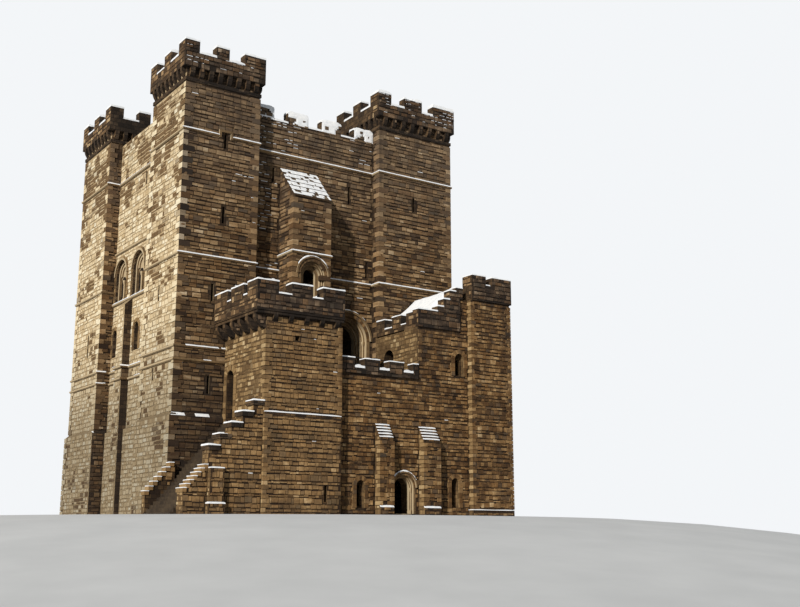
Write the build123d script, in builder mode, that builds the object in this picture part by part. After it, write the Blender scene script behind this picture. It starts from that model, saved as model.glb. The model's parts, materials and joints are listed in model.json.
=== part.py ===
from build123d import *
import os

# Castle keep with its forebuilding. Millimetres, +Z up, foot of the walls at Z 0.
# The entrance front faces -Y. The origin is the middle of the keep's plan at the foot of the walls.

# Keep plan
keep_half_x = 9450
keep_half_y = 8500
turret_south_width = 4700
turret_north_width = 5600
turret_front_depth = 4700
turret_back_depth = 4900
wall_recess = 800
pilaster_projection = 470
vice_radius = 1000

# Faces worked out from the plan
room_x0 = -keep_half_x + turret_south_width
room_x1 = keep_half_x - turret_north_width
room_y0 = -keep_half_y + turret_front_depth
room_y1 = keep_half_y - turret_back_depth
wall_half_x = keep_half_x - wall_recess
wall_half_y = keep_half_y - wall_recess

# Levels of the keep
plinth_growth = 160
plinth_level = 5400
plinth_weathering = 160
lower_string_level = 8470
second_string_level = 9200
middle_string_level = 14400
window_sill_string = 13580
window_label_string = 16950
upper_string_level = 21700
wall_walk_level = 22800
wall_crenel_level = 23850
wall_merlon_level = 24550
turret_moulding_level = 24600
corbel_level = 24850
corbel_top_level = 25450
turret_deck_level = 25100
turret_crenel_level = 26350
turret_merlon_level = 27050
ground_floor_level = 300
first_floor_level = 4500
hall_floor_level = 8000
floor_thickness = 400
roof_deck_thickness = 500

# Parapets
parapet_thickness = 600
turret_overhang = 240
moulding_projection = 80
corbel_width = 260
corbels_per_side = 8
south_turret_gaps = ((-8800, -7730), (-6910, -5910))
north_turret_gaps = ((4600, 5630), (7040, 7930))

# Loop under the stepped label, and the label over the projection's window
turret_loop_x = -6880
projection_label_level = 15280

# Great doorway into the hall
hall_door_x = 2050
hall_door_spring = 10850
hall_door_half = 950
hall_door_outer = 1650
hall_door_depth = 1000

# Projection on the entrance front
projection_x0 = -2800
projection_x1 = -300
projection_face = -9450
projection_eaves = 18700
projection_ridge = 20800
projection_window_x = -1450
projection_window_sill = 10750
projection_window_spring = 14050
projection_window_half = 400
projection_window_outer = 1000
projection_window_depth = 600

# Windows of the south wall
twin_window_centers = (-500, 2450)
twin_window_sill = 13700
twin_window_spring = 15450
twin_window_half = 950
small_window_centers = (-640, 3000)
small_window_half = 380
small_window_sill = 10150
small_window_spring = 11500

# Forebuilding plan
stair_tower_x0 = -6450
stair_tower_x1 = -1850
stair_tower_face = -13400
stair_tower_wall = 900
chapel_face = -13000
chapel_wall_thickness = 1000
upper_tower_x0 = 3650
upper_tower_x1 = 10250
upper_tower_corner_x = 7250
corner_pilaster_face = -13350
buttress_face = -13500

# Forebuilding levels
chapel_floor_level = 280
vault_level = 5000
vault_crown_level = 4550
vault_spring_level = 3400
stair_tower_deck = 10300
stair_tower_crenel = 11580
stair_tower_merlon = 12200
chapel_wall_top = 7850
middle_crenel = 8170
middle_merlon = 8700
upper_tower_low_top = 10960
upper_tower_corner_top = 12950
upper_tower_crenel = 13950
upper_tower_merlon = 14480
upper_tower_ridge = 13520

# Chapel doorway
chapel_door_x = 2580
chapel_door_spring = 1720
chapel_door_half = 520
chapel_door_outer = 800
chapel_door_depth = 450

# Stairs
riser = 200
lower_steps = 25
lower_stair_x0 = -11050
slope_foot_x = -10720
first_step_x = -9450
step_block_length = 600
west_parapet_end = -9350
lower_stair_y0 = -12650
lower_stair_y1 = -8700
upper_steps = 15
upper_stair_x0 = -5550
upper_stair_x1 = -350
upper_stair_y0 = -11740
upper_stair_y1 = -9760
step_joint = 4
landing_edge = -11990


def front_plane(y):
    """Plane facing the entrance side: sketch right is +X, sketch up is +Z."""
    return Plane((0, y, 0), x_dir=(1, 0, 0), z_dir=(0, -1, 0))


def side_plane(x):
    """Plane facing +X: sketch right is +Y, sketch up is +Z."""
    return Plane((x, 0, 0), x_dir=(0, 1, 0), z_dir=(1, 0, 0))


def block(x0, x1, y0, y1, z0, z1, mode=Mode.ADD):
    with Locations((min(x0, x1), min(y0, y1), z0)):
        Box(abs(x1 - x0), abs(y1 - y0), z1 - z0, align=(Align.MIN, Align.MIN, Align.MIN), mode=mode)


def arch_outline(center, sill, spring, radius, mode=Mode.ADD):
    with BuildLine() as outline:
        Line((center - radius, sill), (center + radius, sill))
        Line((center + radius, sill), (center + radius, spring))
        ThreePointArc((center + radius, spring), (center, spring + radius), (center - radius, spring))
        Line((center - radius, spring), (center - radius, sill))
    make_face(outline.edges(), mode=mode)


def cut_front_arch(center, sill, spring, radius, y0, depth):
    with BuildSketch(front_plane(y0)) as opening:
        arch_outline(center, sill, spring, radius)
    extrude(opening.sketch, amount=-depth, mode=Mode.SUBTRACT)


def cut_side_arch(center, sill, spring, radius, x0, depth):
    with BuildSketch(side_plane(x0)) as opening:
        arch_outline(center, sill, spring, radius)
    extrude(opening.sketch, amount=depth, mode=Mode.SUBTRACT)


def cut_loop(plane, center, z0, z1, depth, slit=150, inner=800):
    """A loop: a narrow slit at the face that splays wide towards the inside."""
    middle = (z0 + z1) / 2
    with BuildSketch(plane) as outside:
        with Locations((center, middle)):
            Rectangle(slit, z1 - z0)
    with BuildSketch(plane.offset(depth)) as inside:
        with Locations((center, middle)):
            Rectangle(inner, (z1 - z0) + 300)
    loft([outside.sketch, inside.sketch], mode=Mode.SUBTRACT)


def cut_lancet(center, sill, spring, half, y, depth):
    """A round-headed window: an open reveal, a narrow light and a splay widening inwards."""
    reveal = 220
    cut_front_arch(center, sill, spring, half, y, reveal)
    cut_front_arch(center, sill + 120, spring, half * 0.62, y, depth)
    with BuildSketch(front_plane(y + reveal + 200)) as light:
        with Locations((center, (sill + spring) / 2 + 60)):
            Rectangle(half * 1.24, spring - sill - 120)
    with BuildSketch(front_plane(y + depth)) as room_side:
        with Locations((center, (sill + spring) / 2 + 60)):
            Rectangle(half * 3, spring - sill)
    loft([light.sketch, room_side.sketch], mode=Mode.SUBTRACT)


def finish(builder, name):
    builder.part.label = name
    export_step(builder.part, "parts/" + name + ".step")


def turret_plan(sx, sy, width, depth, growth):
    """Plan of a corner turret; it grows outwards and on the returns that face the recessed walls."""
    outer_x = keep_half_x + growth
    outer_y = keep_half_y + growth
    return_x = keep_half_x - width
    return_y = keep_half_y - depth
    ring = [
        (outer_x, outer_y),
        (return_x - growth, outer_y),
        (return_x - growth, wall_half_y + growth),
        (return_x, wall_half_y + growth),
        (return_x, return_y),
        (wall_half_x + growth, return_y),
        (wall_half_x + growth, return_y - growth),
        (outer_x, return_y - growth),
    ]
    return [(sx * x, sy * y) for x, y in ring]


def turret(name, sx, sy, width, depth, loops):
    with BuildPart() as shaft:
        block(
            sx * keep_half_x,
            sx * (keep_half_x - width),
            sy * keep_half_y,
            sy * (keep_half_y - depth),
            0,
            turret_deck_level,
        )
        with BuildSketch():
            with BuildLine():
                Polyline(*turret_plan(sx, sy, width, depth, plinth_growth), close=True)
            make_face()
        extrude(amount=plinth_level)
        with BuildSketch(Plane.XY.offset(plinth_level)):
            with BuildLine():
                Polyline(*turret_plan(sx, sy, width, depth, plinth_growth), close=True)
            make_face()
        with BuildSketch(Plane.XY.offset(plinth_level + plinth_weathering)):
            with BuildLine():
                Polyline(*turret_plan(sx, sy, width, depth, 10), close=True)
            make_face()
        loft()
        center_x = sx * (keep_half_x - width / 2)
        center_y = sy * (keep_half_y - depth / 2)
        with Locations((center_x, center_y, ground_floor_level)):
            Cylinder(
                vice_radius,
                turret_deck_level - ground_floor_level - 900,
                align=(Align.CENTER, Align.CENTER, Align.MIN),
                mode=Mode.SUBTRACT,
            )
        for face, along, z0, z1 in loops:
            if face == "front":
                cut_loop(front_plane(sy * keep_half_y), along, z0, z1, sy * (depth / 2 - 700))
            else:
                cut_loop(side_plane(sx * keep_half_x), along, z0, z1, -sx * (width / 2 - 700))
    finish(shaft, name)
    return shaft


def corbel_profile(projection, height):
    """Corbel outline: foot at the wall, a bellied underside and an upright nose."""
    with BuildLine() as outline:
        Polyline(
            (0, 0),
            (projection * 0.35, height * 0.1),
            (projection * 0.8, height * 0.42),
            (projection, height * 0.7),
            (projection, height),
            (-40, height),
            (-40, 0),
            close=True,
        )
    make_face(outline.edges())


def corbel(x, y, direction, level, projection, height, width):
    """One corbel standing out of a wall face at (x, y) along a level direction."""
    across = (-direction[1], direction[0], 0)
    plane = Plane((x, y, level), x_dir=(direction[0], direction[1], 0), z_dir=across)
    flip = plane if plane.y_dir.Z > 0 else Plane(plane.origin, x_dir=plane.x_dir, z_dir=-plane.z_dir)
    with BuildSketch(flip) as profile:
        corbel_profile(projection, height)
    extrude(profile.sketch, amount=width / 2, both=True)


def turret_parapet(name, sx, sy, width, depth, gaps):
    """Corbel table, moulded course, parapet wall and merlons round a turret head."""
    x0, x1 = sorted((sx * keep_half_x, sx * (keep_half_x - width)))
    y0, y1 = sorted((sy * keep_half_y, sy * (keep_half_y - depth)))
    middle_x = (x0 + x1) / 2
    middle_y = (y0 + y1) / 2
    size_x = x1 - x0
    size_y = y1 - y0
    inner_x = size_x - 2 * (parapet_thickness - turret_overhang)
    inner_y = size_y - 2 * (parapet_thickness - turret_overhang)
    with BuildPart() as parapet:
        block(
            x0 - moulding_projection,
            x1 + moulding_projection,
            y0 - moulding_projection,
            y1 + moulding_projection,
            turret_moulding_level,
            corbel_level,
        )
        chamfer(parapet.faces().sort_by(Axis.Z)[0].edges(), 50)
        block(x0, x1, y0, y1, turret_moulding_level, corbel_level, mode=Mode.SUBTRACT)
        with BuildSketch(Plane.XY.offset(turret_deck_level)):
            with Locations((middle_x, middle_y)):
                Rectangle(size_x, size_y)
                Rectangle(inner_x, inner_y, mode=Mode.SUBTRACT)
        extrude(amount=corbel_top_level - turret_deck_level)
        with BuildSketch(Plane.XY.offset(corbel_top_level)):
            with Locations((middle_x, middle_y)):
                Rectangle(size_x + 2 * turret_overhang, size_y + 2 * turret_overhang)
                Rectangle(inner_x, inner_y, mode=Mode.SUBTRACT)
        extrude(amount=turret_merlon_level - corbel_top_level)
        for begin, end in gaps:
            block(begin, end, y0 - 900, y1 + 900, turret_crenel_level, turret_merlon_level, Mode.SUBTRACT)
        side_crenels(middle_y, size_y + 2 * turret_overhang, x0 - 900, x1 + 900)
        chamfer(parapet.faces().sort_by(Axis.Z)[-1].edges(), 40)
        height = corbel_top_level - corbel_level
        for index in range(corbels_per_side):
            step = (index + 0.5) / corbels_per_side
            x = x0 + size_x * step
            y = y0 + size_y * step
            corbel(x, y0, (0, -1), corbel_level, turret_overhang, height, corbel_width)
            corbel(x, y1, (0, 1), corbel_level, turret_overhang, height, corbel_width)
            corbel(x0, y, (-1, 0), corbel_level, turret_overhang, height, corbel_width)
            corbel(x1, y, (1, 0), corbel_level, turret_overhang, height, corbel_width)
        block(x0, x1, y0, y1, corbel_level - 100, turret_deck_level, mode=Mode.SUBTRACT)
    finish(parapet, name)
    return parapet


def side_crenels(middle, length, low, high):
    """Cut two evenly spaced crenels through both sides of a turret parapet."""
    merlon = length / 5.3
    gap = merlon * 1.15
    for center in (middle - (merlon + gap) / 2, middle + (merlon + gap) / 2):
        y0 = center - gap / 2
        block(low, high, y0, y0 + gap, turret_crenel_level, turret_merlon_level, Mode.SUBTRACT)


def wall_parapet(x0, x1, y0, y1, count):
    """Crenellated parapet on a wall head with a weathered coping."""
    along_x = abs(x1 - x0) > abs(y1 - y0)
    length = abs(x1 - x0) if along_x else abs(y1 - y0)
    merlon = length / (count * 1.7 + 1)
    gap = merlon * 0.7
    with BuildPart() as parapet:
        block(x0, x1, y0, y1, wall_walk_level, wall_merlon_level)
        for index in range(count):
            begin = (x0 if along_x else y0) + merlon + index * (merlon + gap)
            if along_x:
                block(begin, begin + gap, y0, y1, wall_crenel_level, wall_merlon_level, Mode.SUBTRACT)
            else:
                block(x0, x1, begin, begin + gap, wall_crenel_level, wall_merlon_level, Mode.SUBTRACT)
        top = parapet.edges().group_by(Axis.Z)[-1]
        chamfer(top.filter_by(Axis.X if along_x else Axis.Y), 70)
    return parapet.part


def wall_parapets():
    with BuildPart() as parapets:
        add(wall_parapet(room_x0, room_x1, -wall_half_y, -wall_half_y + parapet_thickness, 3))
        add(wall_parapet(room_x0, room_x1, wall_half_y - parapet_thickness, wall_half_y, 3))
        add(wall_parapet(-wall_half_x, -wall_half_x + parapet_thickness, room_y0, room_y1, 0))
        add(wall_parapet(wall_half_x - parapet_thickness, wall_half_x, room_y0, room_y1, 3))
    finish(parapets, "wall_parapets")


def outline_path(with_pilasters):
    """Plan of the keep's faces, anticlockwise from the foot of the northeast turret's corner."""
    front_left = [
        (keep_half_x, -keep_half_y),
        (keep_half_x, room_y0),
        (wall_half_x, room_y0),
    ]
    north = [(wall_half_x, -600), (wall_half_x + pilaster_projection, -600)]
    north += [(wall_half_x + pilaster_projection, 550), (wall_half_x, 550)]
    back_right = [
        (wall_half_x, room_y1),
        (keep_half_x, room_y1),
        (keep_half_x, keep_half_y),
        (room_x1, keep_half_y),
        (room_x1, wall_half_y),
    ]
    west = [(200, wall_half_y), (200, wall_half_y + pilaster_projection)]
    west += [(-1000, wall_half_y + pilaster_projection), (-1000, wall_half_y)]
    back_left = [
        (room_x0, wall_half_y),
        (room_x0, keep_half_y),
        (-keep_half_x, keep_half_y),
        (-keep_half_x, room_y1),
        (-wall_half_x, room_y1),
    ]
    south = [(-wall_half_x, 1450), (-wall_half_x - pilaster_projection, 1450)]
    south += [(-wall_half_x - pilaster_projection, 300), (-wall_half_x, 300)]
    front_right = [
        (-wall_half_x, room_y0),
        (-keep_half_x, room_y0),
        (-keep_half_x, -keep_half_y),
    ]
    if not with_pilasters:
        return front_left + back_right + back_left + front_right
    return front_left + north + back_right + west + back_left + south + front_right


def string_profile():
    """Moulded string course: chamfered foot, upright face and a weathered top."""
    with BuildLine() as outline:
        Polyline((0, -90), (60, -90), (120, -40), (120, 40), (0, 110), close=True)
    make_face(outline.edges())


def sweep_string(points, level):
    with BuildLine() as path:
        Polyline(*[(x, y, level) for x, y in points])
    start = path.line @ 0
    tangent = path.line % 0
    outward = tangent.cross(Vector(0, 0, 1))
    with BuildSketch(Plane(start, x_dir=outward, z_dir=-tangent)) as profile:
        string_profile()
    sweep(profile.sketch, path=path.line, transition=Transition.RIGHT)


def stepped_label(x, y):
    """Square label where the upper course steps up over a loop."""
    half = 430
    rise = 380
    width = 130
    low = upper_string_level - 95
    top = upper_string_level + rise
    block(x - half + width, x + half - width, y - 200, y, low, upper_string_level + 115, Mode.SUBTRACT)
    block(x - half, x - half + width, y - 120, y, low, top)
    block(x + half - width, x + half, y - 120, y, low, top)
    block(x - half, x + half, y - 120, y, top - width, top)


def middle_strings(ring, front, back):
    """The middle course goes round each turret; between turrets it parts to pass the windows."""
    sweep_string([(projection_x1, -wall_half_y)] + front + ring[0:3], middle_string_level)
    sweep_string(ring[3:8], middle_string_level)
    sweep_string(ring[8:13], middle_string_level)
    sweep_string(ring[13:16] + back + [(projection_x0, -wall_half_y)], middle_string_level)
    north = [(wall_half_x, room_y0), (wall_half_x, room_y1)]
    west = [(room_x1, wall_half_y), (room_x0, wall_half_y)]
    south = [(-wall_half_x, room_y1), (-wall_half_x, room_y0)]
    for wall in (north, west, south):
        sweep_string(wall, window_sill_string)
        sweep_string(wall, window_label_string)


def string_courses():
    """Four moulded courses round the keep, broken by the projection and the forebuilding."""
    ring = outline_path(False)
    front = [(room_x1, -wall_half_y), (room_x1, -keep_half_y)]
    back = [(room_x0, -keep_half_y), (room_x0, -wall_half_y)]
    with BuildPart() as courses:
        whole = [(0, -wall_half_y)] + front + ring + back + [(-step_joint, -wall_half_y)]
        sweep_string(whole, upper_string_level)
        middle_strings(ring, front, back)
        lower = outline_path(True) + [(stair_tower_x0, -keep_half_y)]
        sweep_string(lower, second_string_level)
        sweep_string(lower, lower_string_level)
        sweep_string(
            [
                (projection_x0, -wall_half_y),
                (projection_x0, projection_face),
                (projection_x1, projection_face),
                (projection_x1, -wall_half_y),
            ],
            projection_label_level,
        )
        stepped_label(turret_loop_x, -keep_half_y)
    finish(courses, "string_courses")


def wall_plinth(x0, x1, y0, y1):
    """Plinth strip along a recessed wall, with its weathered top."""
    block(x0, x1, y0, y1, 0, plinth_level)


def south_wall():
    with BuildPart() as wall:
        block(-wall_half_x, room_x0, room_y0, room_y1, 0, wall_walk_level)
        foot_x = -wall_half_x - plinth_growth
        wall_plinth(foot_x, -wall_half_x, room_y0 + plinth_growth, room_y1 - plinth_growth)
        thickness = wall_half_x + room_x0
        for center in twin_window_centers:
            cut_side_arch(
                center, twin_window_sill, twin_window_spring, twin_window_half, -wall_half_x, thickness
            )
        for center in small_window_centers:
            cut_side_arch(
                center, small_window_sill, small_window_spring, small_window_half, -wall_half_x, thickness
            )
        cut_loop(side_plane(-wall_half_x), -1010, 20600, 21400, thickness, 200, 1000)
        block(-wall_half_x - 600, -wall_half_x, 300, 1450, 0, plinth_level, mode=Mode.SUBTRACT)
    finish(wall, "south_wall")


def north_wall():
    with BuildPart() as wall:
        block(room_x1, wall_half_x, room_y0, room_y1, 0, wall_walk_level)
        foot_x = wall_half_x + plinth_growth
        wall_plinth(wall_half_x, foot_x, room_y0 + plinth_growth, room_y1 - plinth_growth)
        thickness = wall_half_x - room_x1
        cut_side_arch(-1800, twin_window_sill, twin_window_spring, 700, room_x1, thickness)
        cut_side_arch(1800, twin_window_sill, twin_window_spring, 700, room_x1, thickness)
        cut_loop(side_plane(wall_half_x), -1900, 9800, 11000, -thickness, 200, 1000)
        cut_loop(side_plane(wall_half_x), 1900, 9800, 11000, -thickness, 200, 1000)
        block(wall_half_x, wall_half_x + 600, -600, 550, 0, plinth_level, mode=Mode.SUBTRACT)
    finish(wall, "north_wall")


def west_wall():
    with BuildPart() as wall:
        block(room_x0, room_x1, room_y1, wall_half_y, 0, wall_walk_level)
        foot_y = wall_half_y + plinth_growth
        wall_plinth(room_x0 + plinth_growth, room_x1 - plinth_growth, wall_half_y, foot_y)
        thickness = wall_half_y - room_y1
        cut_front_arch(-2600, twin_window_sill, twin_window_spring, 700, room_y1, thickness)
        cut_front_arch(1900, twin_window_sill, twin_window_spring, 700, room_y1, thickness)
        cut_loop(front_plane(wall_half_y), -2700, 9800, 11000, thickness, 200, 1000)
        cut_loop(front_plane(wall_half_y), 2000, 9800, 11000, thickness, 200, 1000)
        block(-1000, 200, wall_half_y, wall_half_y + 600, 0, plinth_level, mode=Mode.SUBTRACT)
    finish(wall, "west_wall")


def east_wall():
    """The entrance wall in four masses round the great doorway."""
    jamb_x0 = hall_door_x - hall_door_half
    jamb_x1 = hall_door_x + hall_door_half
    depth = wall_half_y + room_y0
    with BuildPart() as south_part:
        block(room_x0, jamb_x0, -wall_half_y, room_y0, 0, wall_walk_level)
        cut_front_arch(
            hall_door_x, hall_floor_level, hall_door_spring, hall_door_outer, -wall_half_y, hall_door_depth
        )
        cut_front_arch(
            projection_window_x,
            projection_window_sill,
            projection_window_spring,
            projection_window_half + 200,
            -wall_half_y,
            depth,
        )
        cut_loop(front_plane(-wall_half_y), -3280, 19900, 20800, -depth, 150, 1000)
    finish(south_part, "east_wall_south_of_doorway")
    with BuildPart() as north_part:
        block(jamb_x1, room_x1, -wall_half_y, room_y0, hall_floor_level, wall_walk_level)
        cut_front_arch(
            hall_door_x, hall_floor_level, hall_door_spring, hall_door_outer, -wall_half_y, hall_door_depth
        )
        cut_loop(front_plane(-wall_half_y), 3430, 14850, 15900, -depth, 150, 400)
    finish(north_part, "east_wall_north_of_doorway")
    with BuildPart() as under:
        block(jamb_x0, room_x1, -wall_half_y, room_y0, 0, hall_floor_level)
    finish(under, "east_wall_under_doorway")
    with BuildPart() as over:
        block(jamb_x0, jamb_x1, -wall_half_y, room_y0, hall_door_spring, wall_walk_level)
        cut_front_arch(hall_door_x, hall_floor_level, hall_door_spring, hall_door_half, -wall_half_y, depth)
        cut_front_arch(
            hall_door_x, hall_floor_level, hall_door_spring, hall_door_outer, -wall_half_y, hall_door_depth
        )
        cut_loop(front_plane(-wall_half_y), 2090, 19450, 20600, -depth, 150, 1000)
    finish(over, "east_wall_over_doorway")


def pilaster(x0, x1, y0, y1, axis):
    """Flat buttress with a sloped head."""
    top = window_sill_string - 100
    with BuildPart() as strip:
        block(x0, x1, y0, y1, 0, top)
        edge = strip.faces().sort_by(Axis.Z)[-1].edges().sort_by(axis)[0]
        chamfer(edge, 400)
    return strip.part


def pilasters():
    with BuildPart() as strips:
        add(pilaster(-wall_half_x - pilaster_projection, -wall_half_x, 300, 1450, Axis.X))
        add(pilaster(wall_half_x, wall_half_x + pilaster_projection, -600, 550, -Axis.X))
        add(pilaster(-1000, 200, wall_half_y, wall_half_y + pilaster_projection, -Axis.Y))
    finish(strips, "wall_pilasters")


def east_projection():
    with BuildPart() as mass:
        block(projection_x0, projection_x1, projection_face, -wall_half_y, 0, projection_eaves)
        cut_front_arch(
            projection_window_x,
            projection_window_sill,
            projection_window_spring,
            projection_window_outer,
            projection_face,
            projection_window_depth,
        )
        cut_front_arch(
            projection_window_x,
            projection_window_sill,
            projection_window_spring,
            projection_window_half + 200,
            projection_face,
            -wall_half_y - projection_face,
        )
    finish(mass, "east_projection")


def projection_roof():
    """Steep stone lean-to head of the projection, in lapped slabs."""
    slabs = 6
    depth = -wall_half_y - projection_face
    rise = projection_ridge - projection_eaves
    with BuildPart() as roof:
        with BuildSketch(side_plane(projection_x0)):
            with BuildLine():
                points = [(-wall_half_y, projection_eaves), (projection_face - 70, projection_eaves)]
                for index in range(slabs):
                    y = projection_face - 70 + (depth + 70) * index / slabs
                    z = projection_eaves + rise * index / slabs
                    points.append((y, z + 110))
                    points.append((y + (depth + 70) / slabs, z + rise / slabs + 50))
                points.append((-wall_half_y, projection_ridge))
                Polyline(*points, close=True)
            make_face()
        extrude(amount=projection_x1 - projection_x0)
    finish(roof, "projection_roof")


def stepped_orders(center, sill, spring, radii, y0, depth):
    """Recessed orders of a round arch: each ring stands deeper than the one outside it."""
    count = len(radii) - 1
    for index in range(count):
        start = y0 + depth * index / count
        with BuildSketch(front_plane(start)) as order:
            arch_outline(center, sill, spring, radii[index])
            arch_outline(center, sill, spring, radii[index + 1], mode=Mode.SUBTRACT)
        extrude(order.sketch, amount=-(y0 + depth - start))


def arch_roll(center, spring, radius, y, thickness):
    """Roll moulding bent round an arch."""
    with BuildSketch(Plane((center + radius, y, spring), x_dir=(1, 0, 0), z_dir=(0, 0, 1))) as roll:
        RegularPolygon(thickness, 6)
    revolve(roll.sketch, axis=Axis((center, y, spring), (0, -1, 0)), revolution_arc=180)


def nook_shaft(x, y, sill, spring, radius):
    """Engaged shaft turned with its spreading base and cushion capital."""
    wide = radius * 1.7
    with BuildSketch(front_plane(y)) as half:
        with BuildLine() as outline:
            Polyline(
                (x, sill),
                (x + wide, sill),
                (x + wide, sill + 120),
                (x + radius, sill + 260),
                (x + radius, spring - 300),
                (x + wide, spring - 120),
                (x + wide, spring),
                (x, spring),
                close=True,
            )
        make_face(outline.edges())
    revolve(half.sketch, axis=Axis((x, y, 0), (0, 0, 1)))


def hall_doorway_orders():
    with BuildPart() as orders:
        radii = (hall_door_outer, 1420, 1190, hall_door_half)
        stepped_orders(
            hall_door_x, hall_floor_level, hall_door_spring, radii, -wall_half_y, hall_door_depth
        )
        for index in (1, 2):
            y = -wall_half_y + hall_door_depth * index / 3 - 60
            arch_roll(hall_door_x, hall_door_spring, radii[index] - 75, y, 80)
            for side in (-1, 1):
                x = hall_door_x + side * (radii[index] - 75)
                nook_shaft(x, y, hall_floor_level, hall_door_spring, 70)
    finish(orders, "hall_doorway_orders")


def hood_ring(center, spring, inner, outer, y, projection):
    with BuildSketch(front_plane(y)) as ring:
        with Locations((center, spring)):
            Circle(outer)
            Circle(inner, mode=Mode.SUBTRACT)
        with Locations((center, spring - outer)):
            Rectangle(outer * 3, outer * 2, mode=Mode.SUBTRACT)
    extrude(ring.sketch, amount=projection)


def arch_hoods():
    """Hood moulds over the great doorway, the projection's window and the chapel doorway."""
    with BuildPart() as hoods:
        hood_ring(hall_door_x, hall_door_spring, hall_door_outer, 1780, -wall_half_y, 120)
        hood_ring(
            projection_window_x, projection_window_spring, projection_window_outer, 1110, projection_face, 90
        )
        hood_ring(chapel_door_x, chapel_door_spring, chapel_door_outer, 890, chapel_face, 100)
    finish(hoods, "arch_hoods")


def projection_window_orders():
    with BuildPart() as orders:
        radii = (projection_window_outer, 790, 600, projection_window_half)
        stepped_orders(
            projection_window_x,
            projection_window_sill,
            projection_window_spring,
            radii,
            projection_face,
            projection_window_depth,
        )
        y = projection_face + projection_window_depth / 3 - 42
        arch_roll(projection_window_x, projection_window_spring, 740, y, 58)
        for side in (-1, 1):
            nook_shaft(
                projection_window_x + side * 725, y, projection_window_sill, projection_window_spring, 50
            )
    finish(orders, "projection_window_orders")


def chapel_doorway_orders():
    with BuildPart() as orders:
        radii = (chapel_door_outer, 660, chapel_door_half)
        stepped_orders(
            chapel_door_x, chapel_floor_level, chapel_door_spring, radii, chapel_face, chapel_door_depth
        )
        y = chapel_face + chapel_door_depth / 2 - 36
        arch_roll(chapel_door_x, chapel_door_spring, 614, y, 52)
        for side in (-1, 1):
            nook_shaft(chapel_door_x + side * 600, y, chapel_floor_level, chapel_door_spring, 45)
    finish(orders, "chapel_doorway_orders")


def south_twin_windows():
    """Two windows, each of two round-headed lights under one arch with a shaft between."""
    setback = 350
    plate = 300
    light_radius = 330
    light_offset = 440
    light_spring = twin_window_spring - 350
    with BuildPart() as windows:
        for center in twin_window_centers:
            x = -wall_half_x + setback
            with BuildSketch(side_plane(x)):
                arch_outline(center, twin_window_sill, twin_window_spring, twin_window_half)
                for side in (-1, 1):
                    middle = center + side * light_offset
                    sill = twin_window_sill + 150
                    arch_outline(middle, sill, light_spring, light_radius, mode=Mode.SUBTRACT)
            extrude(amount=plate)
            nook_shaft(x - 110, center, twin_window_sill + 20, light_spring, 75)
            with BuildSketch(side_plane(x - 170)):
                arch_outline(center, twin_window_sill, twin_window_spring, twin_window_half)
                arch_outline(center, twin_window_sill, twin_window_spring, 790, mode=Mode.SUBTRACT)
            extrude(amount=170)
            with BuildSketch(side_plane(x - 90)):
                with Locations((center, twin_window_spring)):
                    Circle(790)
                    Circle(620, mode=Mode.SUBTRACT)
                with Locations((center, twin_window_spring - 1500)):
                    Rectangle(4000, 3000, mode=Mode.SUBTRACT)
            extrude(amount=90)
            with BuildSketch(side_plane(-wall_half_x - 110)):
                with Locations((center, twin_window_spring)):
                    Circle(twin_window_half + 150)
                    Circle(twin_window_half + 15, mode=Mode.SUBTRACT)
                with Locations((center, twin_window_spring - 1500)):
                    Rectangle(4000, 3000, mode=Mode.SUBTRACT)
            extrude(amount=110)
    finish(windows, "south_twin_windows")


def keep_floors():
    with BuildPart() as hall:
        block(room_x0, room_x1, room_y0, room_y1, 0, ground_floor_level)
        block(room_x0, room_x1, room_y0, room_y1, first_floor_level - floor_thickness, first_floor_level)
        block(room_x0, room_x1, room_y0, room_y1, hall_floor_level - floor_thickness, hall_floor_level)
    finish(hall, "keep_floors")
    with BuildPart() as deck:
        block(room_x0, room_x1, room_y0, room_y1, wall_walk_level - roof_deck_thickness, wall_walk_level)
    finish(deck, "roof_deck")


def stair_tower():
    """Gate tower at the stair head: three walls against the keep, with the gateway in the south one."""
    x0 = stair_tower_x0
    x1 = stair_tower_x1
    y0 = stair_tower_face
    wall = stair_tower_wall
    with BuildPart() as tower:
        block(x0, x0 + wall, y0, -keep_half_y, 0, stair_tower_deck + 150)
        block(x0, x1, y0, y0 + wall, 0, stair_tower_deck + 150)
        block(x1 - wall, x1, y0, projection_face, vault_level, stair_tower_deck + 150)
        block(x0, x1, y0 - 90, y0, 0, 5320)
        plinth_face = -keep_half_y - plinth_growth - 2
        block(x0 - 100, x1, plinth_face, -keep_half_y, 0, plinth_level + 160, Mode.SUBTRACT)
        cut_side_arch(-9350, vault_level, 7500, 450, x0 - 200, wall + 200)
        cut_side_arch(-10750, vault_level, 8150, 1000, x1 - wall - 100, wall + 200)
        cut_loop(front_plane(y0 - 90), -2770, 800, 1650, -wall - 90, 160, 700)
        cut_loop(front_plane(y0), -4580, 9200, 9450, -wall, 260, 400)
    finish(tower, "stair_tower")


def stair_tower_roof():
    with BuildPart() as deck:
        block(
            stair_tower_x0 + stair_tower_wall,
            room_x0,
            stair_tower_face + stair_tower_wall,
            -keep_half_y,
            stair_tower_deck - 300,
            stair_tower_deck,
        )
        block(
            room_x0,
            projection_x0,
            stair_tower_face + stair_tower_wall,
            -wall_half_y,
            stair_tower_deck - 300,
            stair_tower_deck,
        )
        block(
            projection_x0,
            stair_tower_x1 - stair_tower_wall,
            stair_tower_face + stair_tower_wall,
            projection_face,
            stair_tower_deck - 300,
            stair_tower_deck,
        )
    finish(deck, "stair_tower_roof")


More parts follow.
